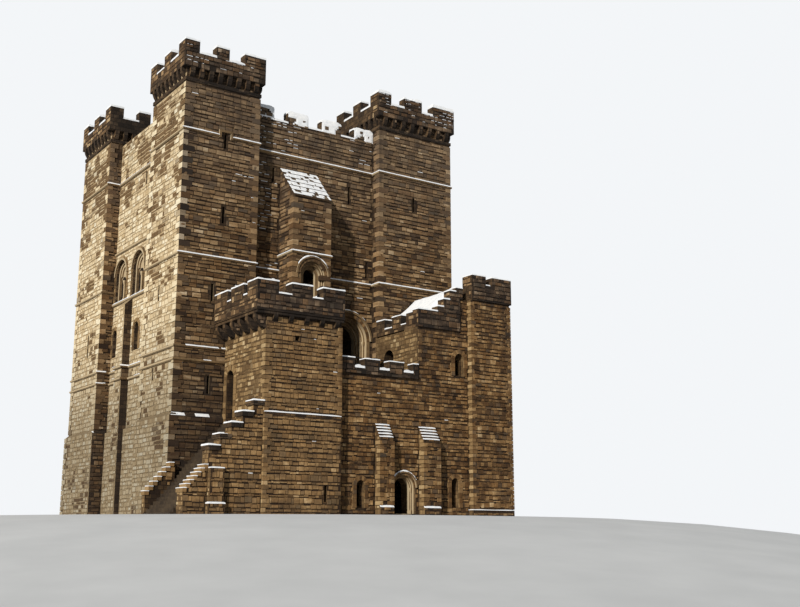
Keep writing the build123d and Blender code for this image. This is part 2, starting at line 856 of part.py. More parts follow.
def stair_tower_parapet():
    """Parapet carried out on deep corbels over the stair, with merlons on three sides."""
    x0 = stair_tower_x0 - 720
    x1 = stair_tower_x1 + 40
    y0 = stair_tower_face - 280
    base = stair_tower_deck + 150
    with BuildPart() as parapet:
        block(x0, x1, y0, y0 + 680, base + 150, stair_tower_merlon)
        block(x0, x0 + 560, y0, -keep_half_y, base + 150, stair_tower_merlon)
        block(x1 - 560, x1, y0, projection_face, base + 150, stair_tower_merlon)
        with BuildSketch(Plane.XY.offset(base)):
            with BuildLine():
                Polyline(
                    (stair_tower_x0, -keep_half_y),
                    (stair_tower_x0, stair_tower_face),
                    (x1, stair_tower_face),
                    (x1, y0 + 60),
                    (x0 + 60, y0 + 60),
                    (x0 + 60, -keep_half_y),
                    close=True,
                )
            make_face()
        extrude(amount=150)
        for begin, end in ((-5900, -5120), (-3830, -3200)):
            block(begin, end, y0 - 50, y0 + 700, stair_tower_crenel, stair_tower_merlon, Mode.SUBTRACT)
        for begin, end in ((-12500, -12070), (-10540, -10110)):
            block(x0 - 50, x1 + 50, begin, end, stair_tower_crenel, stair_tower_merlon, Mode.SUBTRACT)
        for index in range(6):
            y = -13200 + index * 900
            corbel(stair_tower_x0, y, (-1, 0), base - 750, 640, 750, 300)
        for index in range(5):
            x = -6000 + index * 950
            corbel(x, stair_tower_face, (0, -1), base - 300, 220, 300, 240)
        block(stair_tower_x0, x1, stair_tower_face, -keep_half_y, base - 1000, base, Mode.SUBTRACT)
    finish(parapet, "stair_tower_parapet")


def chapel_walls():
    door_x0 = chapel_door_x - chapel_door_outer
    door_x1 = chapel_door_x + chapel_door_outer
    y0 = chapel_face
    y1 = chapel_face + chapel_wall_thickness
    with BuildPart() as wall:
        block(stair_tower_x1, door_x0, y0, y1, 0, chapel_wall_top)
        block(door_x0, chapel_door_x - chapel_door_half, y0 + chapel_door_depth, y1, 0, chapel_door_spring)
        cut_lancet(-300, 550, 1760, 260, y0, chapel_wall_thickness)
    finish(wall, "chapel_wall")
    with BuildPart() as head:
        block(door_x0, door_x1, y0, y1, chapel_door_spring, chapel_wall_top)
        cut_front_arch(chapel_door_x, 0, chapel_door_spring, chapel_door_half, y0, chapel_wall_thickness)
        cut_front_arch(chapel_door_x, 0, chapel_door_spring, chapel_door_outer, y0, chapel_door_depth)
    finish(head, "chapel_doorway_head")
    with BuildPart() as floor:
        block(stair_tower_x0 + stair_tower_wall, 9350, y1, projection_face, 0, chapel_floor_level)
        passage_x0 = chapel_door_x - chapel_door_half
        block(passage_x0, passage_x0 + 2 * chapel_door_half, y0, y1, 0, chapel_floor_level)
    finish(floor, "chapel_floor")


def middle_parapet():
    """Low crenellated parapet over the chapel wall."""
    x0 = stair_tower_x1
    x1 = upper_tower_x0 - 90
    with BuildPart() as parapet:
        block(x0, x1, chapel_face - 90, chapel_face + 460, chapel_wall_top, middle_merlon)
        start = x0 + 1100
        for index in range(3):
            begin = start + index * 1650
            end = begin + 640
            y0 = chapel_face - 200
            block(begin, end, y0, y0 + 700, middle_crenel, middle_merlon, Mode.SUBTRACT)
    finish(parapet, "middle_parapet")


def chapel_buttresses():
    """Two buttresses with stepped weatherings."""
    with BuildPart() as pair:
        for x0, x1 in ((670, 1530), (3620, 4730)):
            steps = 5
            with BuildSketch(side_plane(x0)):
                with BuildLine():
                    points = [(chapel_face, 0), (buttress_face - 90, 0)]
                    points += [(buttress_face - 90, 600), (buttress_face, 680)]
                    for index in range(steps):
                        y = buttress_face + 100 * index
                        z = 4400 + 170 * index
                        points.append((y, z))
                        points.append((y + 90, z + 40))
                    points.append((chapel_face, 4400 + 170 * steps))
                    Polyline(*points, close=True)
                make_face()
            extrude(amount=x1 - x0)
    finish(pair, "chapel_buttresses")


def chapel_vault():
    """Barrel vault over the chapel; its flat top carries the upper stair."""
    x0 = stair_tower_x0 + stair_tower_wall
    x1 = upper_tower_x1 - 900
    y0 = chapel_face + chapel_wall_thickness
    y1 = projection_face
    middle = (y0 + y1) / 2
    with BuildPart() as vault:
        with BuildSketch(side_plane(x0)):
            with BuildLine():
                Line((y0, vault_level), (y0, vault_spring_level))
                ThreePointArc((y0, vault_spring_level), (middle, vault_crown_level), (y1, vault_spring_level))
                Line((y1, vault_spring_level), (y1, vault_level))
                Line((y1, vault_level), (y0, vault_level))
            make_face()
        extrude(amount=x1 - x0)
    finish(vault, "chapel_vault")


def upper_tower():
    """North tower of the forebuilding, flush with the chapel wall, with a taller corner."""
    y0 = chapel_face
    with BuildPart() as tower:
        door_edge = chapel_door_x + chapel_door_outer
        block(door_edge, upper_tower_x1, y0, y0 + 1000, 0, upper_tower_low_top)
        jamb = chapel_door_x + chapel_door_half
        block(jamb, door_edge, y0 + chapel_door_depth, y0 + 1000, 0, chapel_door_spring)
        block(door_edge, upper_tower_x0, y0, y0 + 1000, chapel_wall_top, upper_tower_low_top, Mode.SUBTRACT)
        block(upper_tower_x1 - 900, upper_tower_x1, y0, -keep_half_y, 0, upper_tower_low_top)
        block(upper_tower_x0, upper_tower_x0 + 800, y0, -keep_half_y, hall_floor_level, upper_tower_low_top)
        corner_x0 = upper_tower_corner_x - 600
        block(corner_x0, upper_tower_x1, y0, -keep_half_y, upper_tower_low_top, upper_tower_corner_top)
        block(7250, upper_tower_x1, corner_pilaster_face, y0, 0, upper_tower_corner_top)
        block(7150, upper_tower_x1, corner_pilaster_face - 90, y0, 0, 540)
        block(
            upper_tower_x0 - 90,
            upper_tower_x0,
            y0,
            y0 + 1350,
            hall_floor_level,
            upper_tower_low_top,
        )
        block(3400, upper_tower_x1, -keep_half_y - plinth_growth - 2, -keep_half_y, 0, 5560, Mode.SUBTRACT)
        cut_lancet(6550, 8290, 9280, 330, y0, 1000)
        cut_lancet(6150, 650, 2060, 260, y0, 1000)
        cut_side_arch(-9900, hall_floor_level, 9500, 500, upper_tower_x0 - 100, 1000)
    finish(tower, "upper_tower")


def upper_tower_gable():
    """Crow-stepped parapet climbing to the tall corner."""
    y0 = chapel_face - 100
    y1 = chapel_face + 500
    tops = ((3560, 12000), (4960, 12320), (5410, 12810), (5870, 13370), (6340, 13610))
    with BuildPart() as gable:
        with BuildSketch(front_plane(y1)):
            with BuildLine():
                points = [(tops[0][0], upper_tower_low_top)]
                last = upper_tower_low_top
                for x, z in tops:
                    if z != tops[0][1]:
                        points.append((x, last))
                    points.append((x, z))
                    last = z
                points.append((6840, last))
                points.append((6840, upper_tower_corner_top + 2))
                points.append((6640, upper_tower_corner_top + 2))
                points.append((6640, upper_tower_low_top))
                Polyline(*points, close=True)
            make_face()
        extrude(amount=y1 - y0)
    finish(gable, "upper_tower_gable")


def upper_tower_roof():
    with BuildPart() as roof:
        with BuildSketch(front_plane(-8700)):
            with BuildLine():
                Polyline(
                    (4170, upper_tower_low_top + 2),
                    (4440, upper_tower_low_top + 2),
                    (4440, 11250),
                    (6645, upper_tower_corner_top + 2),
                    (6840, upper_tower_corner_top + 2),
                    (6840, upper_tower_ridge),
                    (6450, upper_tower_ridge),
                    (4170, 11420),
                    close=True,
                )
            make_face()
        extrude(amount=3780)
    finish(roof, "upper_tower_roof")


def upper_tower_parapets():
    with BuildPart() as parapets:
        block(3560, 4160, chapel_face + 500, -8700, upper_tower_low_top, 11300)
        for begin, end in ((-12500, -11850), (-11320, -10360), (-9600, -8700)):
            block(3560, 4160, begin, end, 11300, 11900)
        x0 = upper_tower_corner_x + 50
        x1 = upper_tower_x1 + 100
        y0 = corner_pilaster_face - 100
        block(x0, x1, y0, -8700, upper_tower_corner_top, upper_tower_merlon)
        top = upper_tower_merlon
        block(x0 + 600, x1 - 600, y0 + 600, -8600, upper_tower_corner_top, top, Mode.SUBTRACT)
        block(8360, 8840, y0 - 50, y0 + 650, upper_tower_crenel, upper_tower_merlon, Mode.SUBTRACT)
        for begin in (-12100, -10300):
            block(x1 - 650, x1 + 50, begin, begin + 600, upper_tower_crenel, upper_tower_merlon, Mode.SUBTRACT)
        block(x0 - 50, x0 + 650, -12500, -8600, upper_tower_ridge, upper_tower_merlon, Mode.SUBTRACT)
    finish(parapets, "upper_tower_parapets")


def upper_stair():
    """Upper flight from the gateway to the landing at the great doorway."""
    run = (upper_stair_x1 - upper_stair_x0) / upper_steps
    with BuildPart() as treads:
        for index in range(upper_steps):
            x = upper_stair_x0 + run * index
            z = vault_level + riser * index
            block(x, x + run * 1.3, upper_stair_y0, upper_stair_y1, z + step_joint, z + riser)
    finish(treads, "upper_stair_treads")
    with BuildPart() as core:
        with BuildSketch(front_plane(upper_stair_y1)):
            with BuildLine():
                Polyline(
                    (upper_stair_x0 + run * 1.5, vault_level),
                    (upper_stair_x1, vault_level),
                    (upper_stair_x1, hall_floor_level - riser * 1.5),
                    close=True,
                )
            make_face()
        extrude(amount=upper_stair_y1 - upper_stair_y0)
    finish(core, "upper_stair_core")
    with BuildPart() as landing:
        tower_edge = upper_tower_x0 - 100
        room_edge = upper_tower_x1 - 900
        block(upper_stair_x1 + 150, tower_edge, landing_edge, projection_face, 7600, hall_floor_level)
        block(tower_edge, room_edge, landing_edge, projection_face, 7600, hall_floor_level - 5)
        block(projection_x1, room_x1, projection_face, -wall_half_y, 7600, hall_floor_level)
        block(room_x1, room_edge, projection_face, -keep_half_y, 7600, hall_floor_level - 5)
    finish(landing, "landing")


def lower_stair():
    """Lower flight from the ground to the gateway, between its parapets."""
    run = (stair_tower_x0 - lower_stair_x0) / lower_steps
    with BuildPart() as treads:
        for index in range(lower_steps):
            x = lower_stair_x0 + run * index
            z = riser * index
            end = min(x + run * 1.8, stair_tower_x0 - 5)
            side = lower_stair_y1 if x > west_parapet_end else -9120
            block(x, end, lower_stair_y0 + 5, side, z + step_joint * (index > 0), z + riser)
    finish(treads, "lower_stair_treads")
    with BuildPart() as core:
        with BuildSketch(front_plane(-9130)):
            with BuildLine():
                Polyline(
                    (lower_stair_x0 + run * 2, 0),
                    (stair_tower_x0 - 5, 0),
                    (stair_tower_x0 - 5, riser * (lower_steps - 2.2)),
                    close=True,
                )
            make_face()
        extrude(amount=-9130 - lower_stair_y0 - 5)
    finish(core, "lower_stair_core")


def stair_west_parapet():
    with BuildPart() as west:
        with BuildSketch(front_plane(-8700)):
            with BuildLine():
                end = west_parapet_end - 5
                Polyline((-10950, 0), (end, 0), (end, 2850), (-9450, 2850), (-10950, 1100), close=True)
            make_face()
        extrude(amount=400)
    return west.part


def stair_outer_parapet():
    """Outer wall of the lower flight: sloping at the foot, then a pier and five steps."""
    y0 = stair_tower_face + 20
    y1 = lower_stair_y0
    with BuildPart() as wall:
        with BuildSketch(front_plane(y1)):
            with BuildLine():
                points = [(stair_tower_x0, 0), (slope_foot_x, 0), (slope_foot_x, 1150), (first_step_x, 2500)]
                level = 3220
                x = first_step_x
                for index in range(5):
                    points.append((x, level))
                    points.append((x + step_block_length, level))
                    x += step_block_length
                    level += 600
                points[-1] = (stair_tower_x0, points[-1][1])
                Polyline(*points, close=True)
            make_face()
        extrude(amount=y1 - y0)
        block(first_step_x, -8700, y0 - 300, y0, 0, 2330)
        block(first_step_x - 80, -8640, y0 - 380, y0, 0, 600)
        add(stair_west_parapet())
    finish(wall, "stair_parapets")
    with BuildPart() as copings:
        level = 3220
        x = first_step_x
        for index in range(5):
            end = min(x + step_block_length - 8, stair_tower_x0 - 5)
            block(x - 60, end, y0 - 80, y1 + 60, level + 4, level + 240)
            x += step_block_length
            level += 600
    finish(copings, "stair_copings")


def handrail():
    """Iron handrail at the head of the upper flight."""
    y = upper_stair_y0 + 120
    with BuildPart() as rail:
        with BuildLine() as top:
            Line((-1750, y, 8230), (-350, y, 9000))
        with BuildSketch(Plane(top.line @ 0, z_dir=top.line % 0)):
            RegularPolygon(28, 8)
        sweep(path=top.line)
        with Locations((3300, y, hall_floor_level)):
            Cylinder(25, 1000, align=(Align.CENTER, Align.CENTER, Align.MIN))
        with Locations((-200, y, hall_floor_level)):
            Cylinder(25, 1000, align=(Align.CENTER, Align.CENTER, Align.MIN))
        with BuildLine() as level_rail:
            Line((-350, y, 9000), (3540, y, 9000))
        with BuildSketch(Plane(level_rail.line @ 0, z_dir=level_rail.line % 0)):
            RegularPolygon(28, 8)
        sweep(path=level_rail.line)
    finish(rail, "handrail")


os.makedirs("parts", exist_ok=True)

southeast_loops = (
    ("front", -6850, 16500, 17500),
    ("front", turret_loop_x, 21000, 21900),
    ("front", -7350, 11900, 12900),
    ("front", -7400, 6700, 7700),
    ("side", -5900, 12100, 13050),
    ("side", -5600, 7600, 8300),
)
turret("southeast_turret", -1, -1, turret_south_width, turret_front_depth, southeast_loops)
northeast_loops = (
    ("front", 6500, 19500, 20450),
    ("side", -6100, 16500, 17500),
    ("side", -6100, 10500, 11500),
)
turret("northeast_turret", 1, -1, turret_north_width, turret_front_depth, northeast_loops)
northwest_loops = (
    ("front", 6500, 16500, 17500),
    ("side", 6000, 16500, 17500),
    ("side", 6000, 10500, 11500),
)
turret("northwest_turret", 1, 1, turret_north_width, turret_back_depth, northwest_loops)
southwest_loops = (
    ("side", 5750, 10400, 11900),
    ("front", -7000, 16500, 17500),
    ("front", -7000, 10500, 11500),
)
turret("southwest_turret", -1, 1, turret_south_width, turret_back_depth, southwest_loops)

turret_parapet("southeast_turret_parapet", -1, -1, turret_south_width, turret_front_depth, south_turret_gaps)
turret_parapet("northeast_turret_parapet", 1, -1, turret_north_width, turret_front_depth, north_turret_gaps)
turret_parapet("northwest_turret_parapet", 1, 1, turret_north_width, turret_back_depth, north_turret_gaps)
turret_parapet("southwest_turret_parapet", -1, 1, turret_south_width, turret_back_depth, south_turret_gaps)

south_wall()
north_wall()
west_wall()
east_wall()
wall_parapets()
pilasters()
string_courses()
east_projection()
projection_roof()
projection_window_orders()
hall_doorway_orders()
arch_hoods()
south_twin_windows()
keep_floors()

stair_tower()
stair_tower_roof()
stair_tower_parapet()
chapel_walls()
chapel_doorway_orders()
middle_parapet()
chapel_buttresses()
chapel_vault()
upper_tower()
upper_tower_gable()
upper_tower_roof()
upper_tower_parapets()
upper_stair()
lower_stair()
stair_outer_parapet()
handrail()
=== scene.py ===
import json
import math
from types import SimpleNamespace

import bpy
import numpy as np
from mathutils import Matrix, Vector
from mathutils import noise as randomField

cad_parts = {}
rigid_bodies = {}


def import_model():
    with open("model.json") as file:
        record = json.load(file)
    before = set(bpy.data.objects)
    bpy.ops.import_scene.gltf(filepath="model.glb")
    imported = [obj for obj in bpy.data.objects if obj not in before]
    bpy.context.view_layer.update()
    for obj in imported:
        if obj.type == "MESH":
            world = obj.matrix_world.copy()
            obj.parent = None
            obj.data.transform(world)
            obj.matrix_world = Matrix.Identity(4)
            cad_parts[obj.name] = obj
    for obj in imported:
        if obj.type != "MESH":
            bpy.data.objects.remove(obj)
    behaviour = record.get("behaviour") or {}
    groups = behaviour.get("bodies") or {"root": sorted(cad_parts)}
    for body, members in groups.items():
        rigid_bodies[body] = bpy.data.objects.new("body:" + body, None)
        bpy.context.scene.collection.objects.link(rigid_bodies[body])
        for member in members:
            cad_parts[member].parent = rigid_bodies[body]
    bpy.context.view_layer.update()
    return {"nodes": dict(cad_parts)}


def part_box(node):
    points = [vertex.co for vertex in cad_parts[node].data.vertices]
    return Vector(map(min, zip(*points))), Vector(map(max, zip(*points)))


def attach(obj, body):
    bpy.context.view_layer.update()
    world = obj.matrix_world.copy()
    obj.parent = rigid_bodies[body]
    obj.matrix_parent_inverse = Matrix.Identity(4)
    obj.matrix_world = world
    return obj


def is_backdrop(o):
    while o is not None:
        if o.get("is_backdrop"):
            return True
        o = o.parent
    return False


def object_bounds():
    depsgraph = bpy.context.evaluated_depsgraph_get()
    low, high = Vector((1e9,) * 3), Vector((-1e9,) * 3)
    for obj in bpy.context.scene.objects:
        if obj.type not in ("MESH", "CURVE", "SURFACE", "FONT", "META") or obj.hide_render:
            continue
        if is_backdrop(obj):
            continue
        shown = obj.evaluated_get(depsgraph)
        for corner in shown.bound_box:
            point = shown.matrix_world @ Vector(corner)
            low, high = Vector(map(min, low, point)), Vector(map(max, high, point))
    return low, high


for spare in list(bpy.data.objects):
    bpy.data.objects.remove(spare)

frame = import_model()
nodes = frame["nodes"]
print("frame loaded:", len(nodes), "nodes")

# the masonry falls into three kinds of walling
keepWalls = [n for n in nodes if n.endswith(("_turret", "_wall")) or n.startswith("east_wall")]
keepWalls = [n for n in keepWalls if n != "chapel_wall"]
keepWalls += ["east_projection", "wall_pilasters", "wall_parapets"]
forebuildingWalls = ["stair_tower", "chapel_wall", "chapel_doorway_head", "upper_tower",
                     "chapel_buttresses", "stair_parapets"]
parapetWalls = [n for n in nodes if n.endswith(("_parapet", "_parapets"))]
parapetWalls = [n for n in parapetWalls if n not in ("stair_parapets", "wall_parapets")]
parapetWalls += ["upper_tower_gable", "stair_copings"]

bench = {}  # the node tree that is being built


def tint(*colour):
    # a colour written as on screen, turned into the linear values that the shader takes
    shares = [value / 255 for value in colour]
    return (*(share / 12.92 if share <= 0.04045 else ((share + 0.055) / 1.055) ** 2.4 for share in shares), 1)


def feed(socket, value):
    if isinstance(value, bpy.types.NodeSocket):
        bench["tree"].links.new(value, socket)
    elif value is not None:
        socket.default_value = value


def fill(node, sockets):
    for key, value in sockets.items():
        feed(node.inputs[key], value)
    return node


def put(kind, sockets=None, **settings):
    # a new node in the tree on the bench, with its settings made and its sockets filled
    node = bench["tree"].nodes.new(kind)
    for key, value in settings.items():
        setattr(node, key, value)
    return fill(node, sockets or {})


def make(kind, sockets=None, **settings):
    return put(kind, sockets, **settings).outputs[0]


def calc(operation, *values):
    return make("ShaderNodeMath", dict(enumerate(values)), operation=operation)


def plus(first, second):
    return calc("ADD", first, second)


def less(first, second):
    return calc("SUBTRACT", first, second)


def times(first, second):
    return calc("MULTIPLY", first, second)


def over(first, second):
    return calc("DIVIDE", first, second)


def vector(*values):
    return make("ShaderNodeCombineXYZ", dict(enumerate(values)))


def parts(value):
    return put("ShaderNodeSeparateXYZ", {0: value}).outputs


def span(value, low, high, toLow=0.0, toHigh=1.0):
    # brings the values between low and high to those between toLow and toHigh
    return make("ShaderNodeMapRange", dict(enumerate((value, low, high, toLow, toHigh))),
                interpolation_type="SMOOTHSTEP")


def noise(position, scale, detail=2.0, rough=0.5):
    return put("ShaderNodeTexNoise", {
        "Vector": position, "Scale": scale, "Detail": detail, "Roughness": rough}).outputs["Fac"]


def blendColour(share, first, second, mode="MIX"):
    return put("ShaderNodeMix", {0: share, 6: first, 7: second}, data_type="RGBA", blend_type=mode).outputs[2]


def ramp(value, stops):
    node = put("ShaderNodeValToRGB", {0: value})
    band = node.color_ramp
    while len(band.elements) < len(stops):
        band.elements.new(0.5)
    for element, (place, colour) in zip(band.elements, stops):
        element.position = place
        element.color = colour
    return node.outputs[0]


def stretch(position, scale):
    return make("ShaderNodeMapping", {0: position, "Scale": scale})


def raised(height, strength, depth):
    return make("ShaderNodeBump", {"Strength": strength, "Distance": depth, "Height": height})


def attribute(name):
    return put("ShaderNodeAttribute", attribute_name=name).outputs["Fac"]


def newMaterial(name):
    material = bpy.data.materials.new(name)
    material.use_nodes = True
    bench["tree"] = material.node_tree
    return material, fill(material.node_tree.nodes["Principled BSDF"], {"Specular IOR Level": 0.2})


# Colours of the walling, in a lit and a shaded copy: "shade" is painted shade for the entrance side and the
# back, "sun" is painted sunlight for the south faces.
# Black crust builds up from sootFrom to sootTo, and low down the walling is darkened with painted shade between
# the two foot levels.
keepLook = {
    "shade": [(0.0, tint(52, 38, 27)), (0.3, tint(94, 72, 49)), (0.58, tint(136, 109, 77)),
              (0.82, tint(176, 147, 110)), (1.0, tint(224, 203, 172))],
    "sun": [(0.0, tint(206, 182, 142)), (0.3, tint(228, 207, 169)), (0.62, tint(241, 223, 188)),
            (0.86, tint(248, 234, 202)), (1.0, tint(253, 244, 219))],
    "sunPatch": tint(120, 95, 65),
    "shadeMortar": tint(37, 28, 21),
    "sunMortar": tint(188, 163, 124),
    "sootAndShade": tint(40, 33, 29),
    "sootFrom": 16.0, "sootTo": 25.0, "sootMost": 0.6,
    "footShadeFrom": 4.4, "footShadeTo": 13.0, "footShadeMost": 0.55,
    "patchMost": 1.0,
    # south faces past this x take the shaded copy: painted shade on the returns further in
    "paintedSunPast": -7.0,
}
forebuildingLook = dict(
    keepLook,
    shade=[(0.0, tint(50, 36, 24)), (0.3, tint(96, 71, 45)), (0.58, tint(138, 107, 70)),
           (0.82, tint(172, 139, 96)), (1.0, tint(214, 186, 144))],
    sun=[(0.0, tint(98, 76, 50)), (0.3, tint(138, 112, 76)), (0.62, tint(164, 136, 96)),
         (0.86, tint(182, 155, 113)), (1.0, tint(206, 184, 144))],
    sunPatch=tint(86, 66, 44), sunMortar=tint(92, 72, 48),
    sootFrom=6.5, sootTo=13.0, sootMost=0.7, footShadeFrom=0.0, footShadeTo=0.9, footShadeMost=0.3, patchMost=0.6,
    paintedSunPast=100.0)
parapetLook = dict(
    keepLook,
    shade=[(0.0, tint(38, 30, 24)), (0.3, tint(70, 57, 46)), (0.58, tint(104, 86, 69)),
           (0.82, tint(140, 119, 97)), (1.0, tint(190, 172, 150))],
    sun=[(0.0, tint(66, 50, 35)), (0.3, tint(104, 81, 56)), (0.6, tint(138, 110, 78)),
         (0.84, tint(168, 138, 101)), (1.0, tint(196, 170, 131))],
    sunPatch=tint(50, 39, 29), sunMortar=tint(50, 40, 30), shadeMortar=tint(24, 20, 16),
    sootFrom=6.0, sootTo=12.0, sootMost=0.6, footShadeFrom=-2.0, footShadeTo=-1.0, footShadeMost=0.0, patchMost=0.8,
    paintedSunPast=100.0)
quoinLook = dict(
    keepLook,
    shade=[(0.0, tint(42, 34, 28)), (0.42, tint(66, 53, 42)), (0.52, tint(150, 132, 108)),
           (1.0, tint(206, 190, 166))])

# What single stones lean to, beside the tone of their wall. The last three are spans by x, by height and
# by x: from, to, and the value at each end.
stoneCasts = {
    "warm": tint(146, 104, 58),
    "grey": tint(106, 98, 86),
    "high": tint(124, 112, 99),
    "highFrom": 14.0, "highTo": 24.0,
    "stairTower": tint(188, 156, 112),
    # painted sunlight: the pale colour that smooth stone takes on south faces
    "paintedSun": tint(214, 194, 158),
    "stairTowerEnd": (-2.1, -1.7, 0.22, 0.0),
    "darkTowardsHead": (15.0, 23.0, 0.02, 0.19),
    "paleBetweenTurrets": (-9.3, -9.0, 0.0, -0.09),
}


def placeNodes():
    # object position and face direction, split into parts
    where = put("ShaderNodeTexCoord").outputs["Object"]
    return where, parts(where), parts(put("ShaderNodeNewGeometry").outputs["Normal"])


def paintedSunShare(facing, axes=None, past=100.0):
    # how far a face turns to the south side, which takes the painted sunlit colours; short returns further in
    # keep the shaded colours, painted shade
    share = span(times(facing[0], -1.0), 0.35, 0.9)
    if axes is not None and past < 50.0:
        share = times(share, span(axes[0], past - 0.6, past, 1.0, 0.0))
    return share


def weather(colour, where, axes, facing, look):
    # grain inside each stone, black crust in upright runs, and a darker foot that is painted shade
    grain = noise(where, 9.0, 6, 0.7)
    specks = ramp(grain, [(0.28, tint(202, 198, 193)), (0.72, tint(255, 254, 252))])
    colour = blendColour(1.0, colour, specks, "MULTIPLY")
    run = span(noise(stretch(where, (0.9, 0.9, 0.14)), 1.0, 5, 0.65), 0.42, 0.68)
    crust = times(run, span(axes[2], look["sootFrom"], look["sootTo"], 0.25, 1.0))
    crust = times(crust, span(paintedSunShare(facing), 0.0, 1.0, 1.0, 0.35))
    colour = blendColour(times(crust, look["sootMost"]), colour, look["sootAndShade"])
    # painted shade: the walling darkens towards its foot, in the crust colour
    footShade = span(axes[2], look["footShadeFrom"], look["footShadeTo"], look["footShadeMost"], 0.0)
    return blendColour(footShade, colour, look["sootAndShade"]), grain


def finishStone(shader, colour, grain, relief, depth=0.02):
    fill(shader, {"Base Color": colour, "Roughness": span(grain, 0.2, 0.8, 0.84, 0.98),
                  "Normal": raised(relief, 0.8, depth)})


def wallMaterial(name, look, sizes):
    # the wall behind the raised stones: deep joints, and faint courses where no stone stands proud
    material, shader = newMaterial(name)
    where, axes, facing = placeNodes()
    level = span(calc("ABSOLUTE", facing[2]), 0.45, 0.55)
    along, upright = [make("ShaderNodeMix", {0: level, 2: wall, 3: top}, data_type="FLOAT")
                      for wall, top in ((plus(axes[0], axes[1]), axes[0]), (axes[2], axes[1]))]
    courses = put("ShaderNodeTexBrick", {
        "Vector": vector(along, upright, 0.0), "Color1": (0.1, 0.1, 0.1, 1), "Color2": (0.8, 0.8, 0.8, 1),
        "Scale": 1.0, "Mortar Size": 0.016, "Mortar Smooth": 0.5,
        "Brick Width": sizes["stone"], "Row Height": sizes["course"]}, offset=0.5).outputs
    # painted sunlight on the south faces and painted shade elsewhere: the sun and shade copies of stones and
    # mortar are mixed by facing
    south = paintedSunShare(facing, axes, look["paintedSunPast"])
    stones = blendColour(south, ramp(courses["Color"], look["shade"]), ramp(courses["Color"], look["sun"]))
    mortar = blendColour(south, look["shadeMortar"], look["sunMortar"])
    worn = span(noise(where, 0.9, 3, 0.6), 0.35, 0.6, 0.45, 0.85)
    colour = blendColour(calc("MAXIMUM", courses["Fac"], worn), stones, mortar)
    colour, grain = weather(colour, where, axes, facing, look)
    finishStone(shader, colour, grain, less(times(grain, 0.5), courses["Fac"]))
    return material


def blockMaterial(name, look, bandScale, bandShare):
    # single stones: each has a tone of its own, a warm or grey cast, and dark ones stand in clusters
    material, shader = newMaterial(name)
    where, axes, facing = placeNodes()
    tone, cluster = attribute("stoneTone"), attribute("stonePatch")
    # painted sunlight: south faces of the south pieces (sunSide) take the sun copy of the colours, the rest the
    # shade copy
    south = times(attribute("sunSide"), paintedSunShare(facing, axes, look["paintedSunPast"]))
    band = span(noise(stretch(where, bandScale), 1.0, 3, 0.6), 0.3, 0.7)
    mixed = plus(times(tone, 1 - bandShare), times(band, bandShare))
    shaded = ramp(less(mixed, span(cluster, 0.5, 0.75, 0.0, 0.3)), look["shade"])
    cast = calc("FRACT", times(tone, 41.0))
    shaded = blendColour(span(cast, 0.6, 0.95, 0.0, 0.25), shaded, stoneCasts["warm"])
    shaded = blendColour(span(cast, 0.0, 0.3, 0.3, 0.0), shaded, stoneCasts["grey"])
    if look is keepLook:
        high = span(axes[2], stoneCasts["highFrom"], stoneCasts["highTo"], 0.0, 0.35)
        shaded = blendColour(high, shaded, stoneCasts["high"])
    if look is forebuildingLook:
        shaded = blendColour(span(axes[0], *stoneCasts["stairTowerEnd"]), shaded, stoneCasts["stairTower"])
    if look["paintedSunPast"] < 0:
        # more dark stones towards the head of the south side, fewer on the wall between its turrets
        cluster = plus(cluster, span(axes[2], *stoneCasts["darkTowardsHead"]))
        cluster = plus(cluster, span(axes[0], *stoneCasts["paleBetweenTurrets"]))
    patch = span(cluster, 0.6, 0.66, 0.0, look["patchMost"])
    # the sun copy of the stone colours with their dark patches, painted sunlight
    paintedSun = blendColour(patch, ramp(tone, look["sun"]), look["sunPatch"])
    colour, grain = weather(blendColour(south, shaded, paintedSun), where, axes, facing, look)
    finishStone(shader, colour, grain, noise(where, 14.0, 6, 0.7), 0.016)
    return material


def plainStone(name, dark, pale, scale=5.0, depth=0.01, paintedSunAmount=0.55, upright=None):
    # smooth dressed or slab stone; upright is another colour for the upright faces
    material, shader = newMaterial(name)
    where, axes, facing = placeNodes()
    grain = noise(where, scale, 7, 0.65)
    mixed = plus(times(grain, 0.5), times(noise(where, 0.7, 3, 0.6), 0.5))
    colour = ramp(mixed, [(0.36, dark), (0.64, pale)])
    if paintedSunAmount:
        # painted sunlight: south faces are mixed towards a pale colour
        colour = blendColour(times(paintedSunShare(facing), paintedSunAmount), colour, stoneCasts["paintedSun"])
    if upright:
        colour = blendColour(span(calc("ABSOLUTE", facing[2]), 0.2, 0.3, 1.0, 0.0), colour, upright)
    finishStone(shader, colour, grain, grain, depth)
    return material


def snowMaterial():
    material, shader = newMaterial("settledSnow")
    grain = noise(placeNodes()[0], 6.0, 5, 0.6)
    fill(shader, {"Base Color": ramp(grain, [(0.3, tint(222, 226, 232)), (0.7, tint(248, 248, 248))]),
                  "Roughness": span(grain, 0.2, 0.8, 0.55, 0.85), "Normal": raised(grain, 0.5, 0.02)})
    return material


def ironMaterial():
    material, shader = newMaterial("handrailIron")
    rust = span(noise(placeNodes()[0], 9.0, 5, 0.7), 0.5, 0.65)
    fill(shader, {"Base Color": blendColour(rust, tint(44, 45, 47), tint(96, 58, 36)),
                  "Roughness": span(rust, 0, 1, 0.45, 0.85), "Metallic": 0.6})
    return material


def glassMaterial():
    material, shader = newMaterial("leadedGlass")
    panes = noise(placeNodes()[0], 5.0, 2)
    # painted shade: the panes are near black for the unlit rooms behind them; the leads and the gloss are the
    # glass's own
    fill(shader, {"Base Color": ramp(panes, [(0.35, tint(14, 13, 13)), (0.65, tint(38, 34, 31))]),
                  "Roughness": 0.22, "Specular IOR Level": 0.4})
    return material


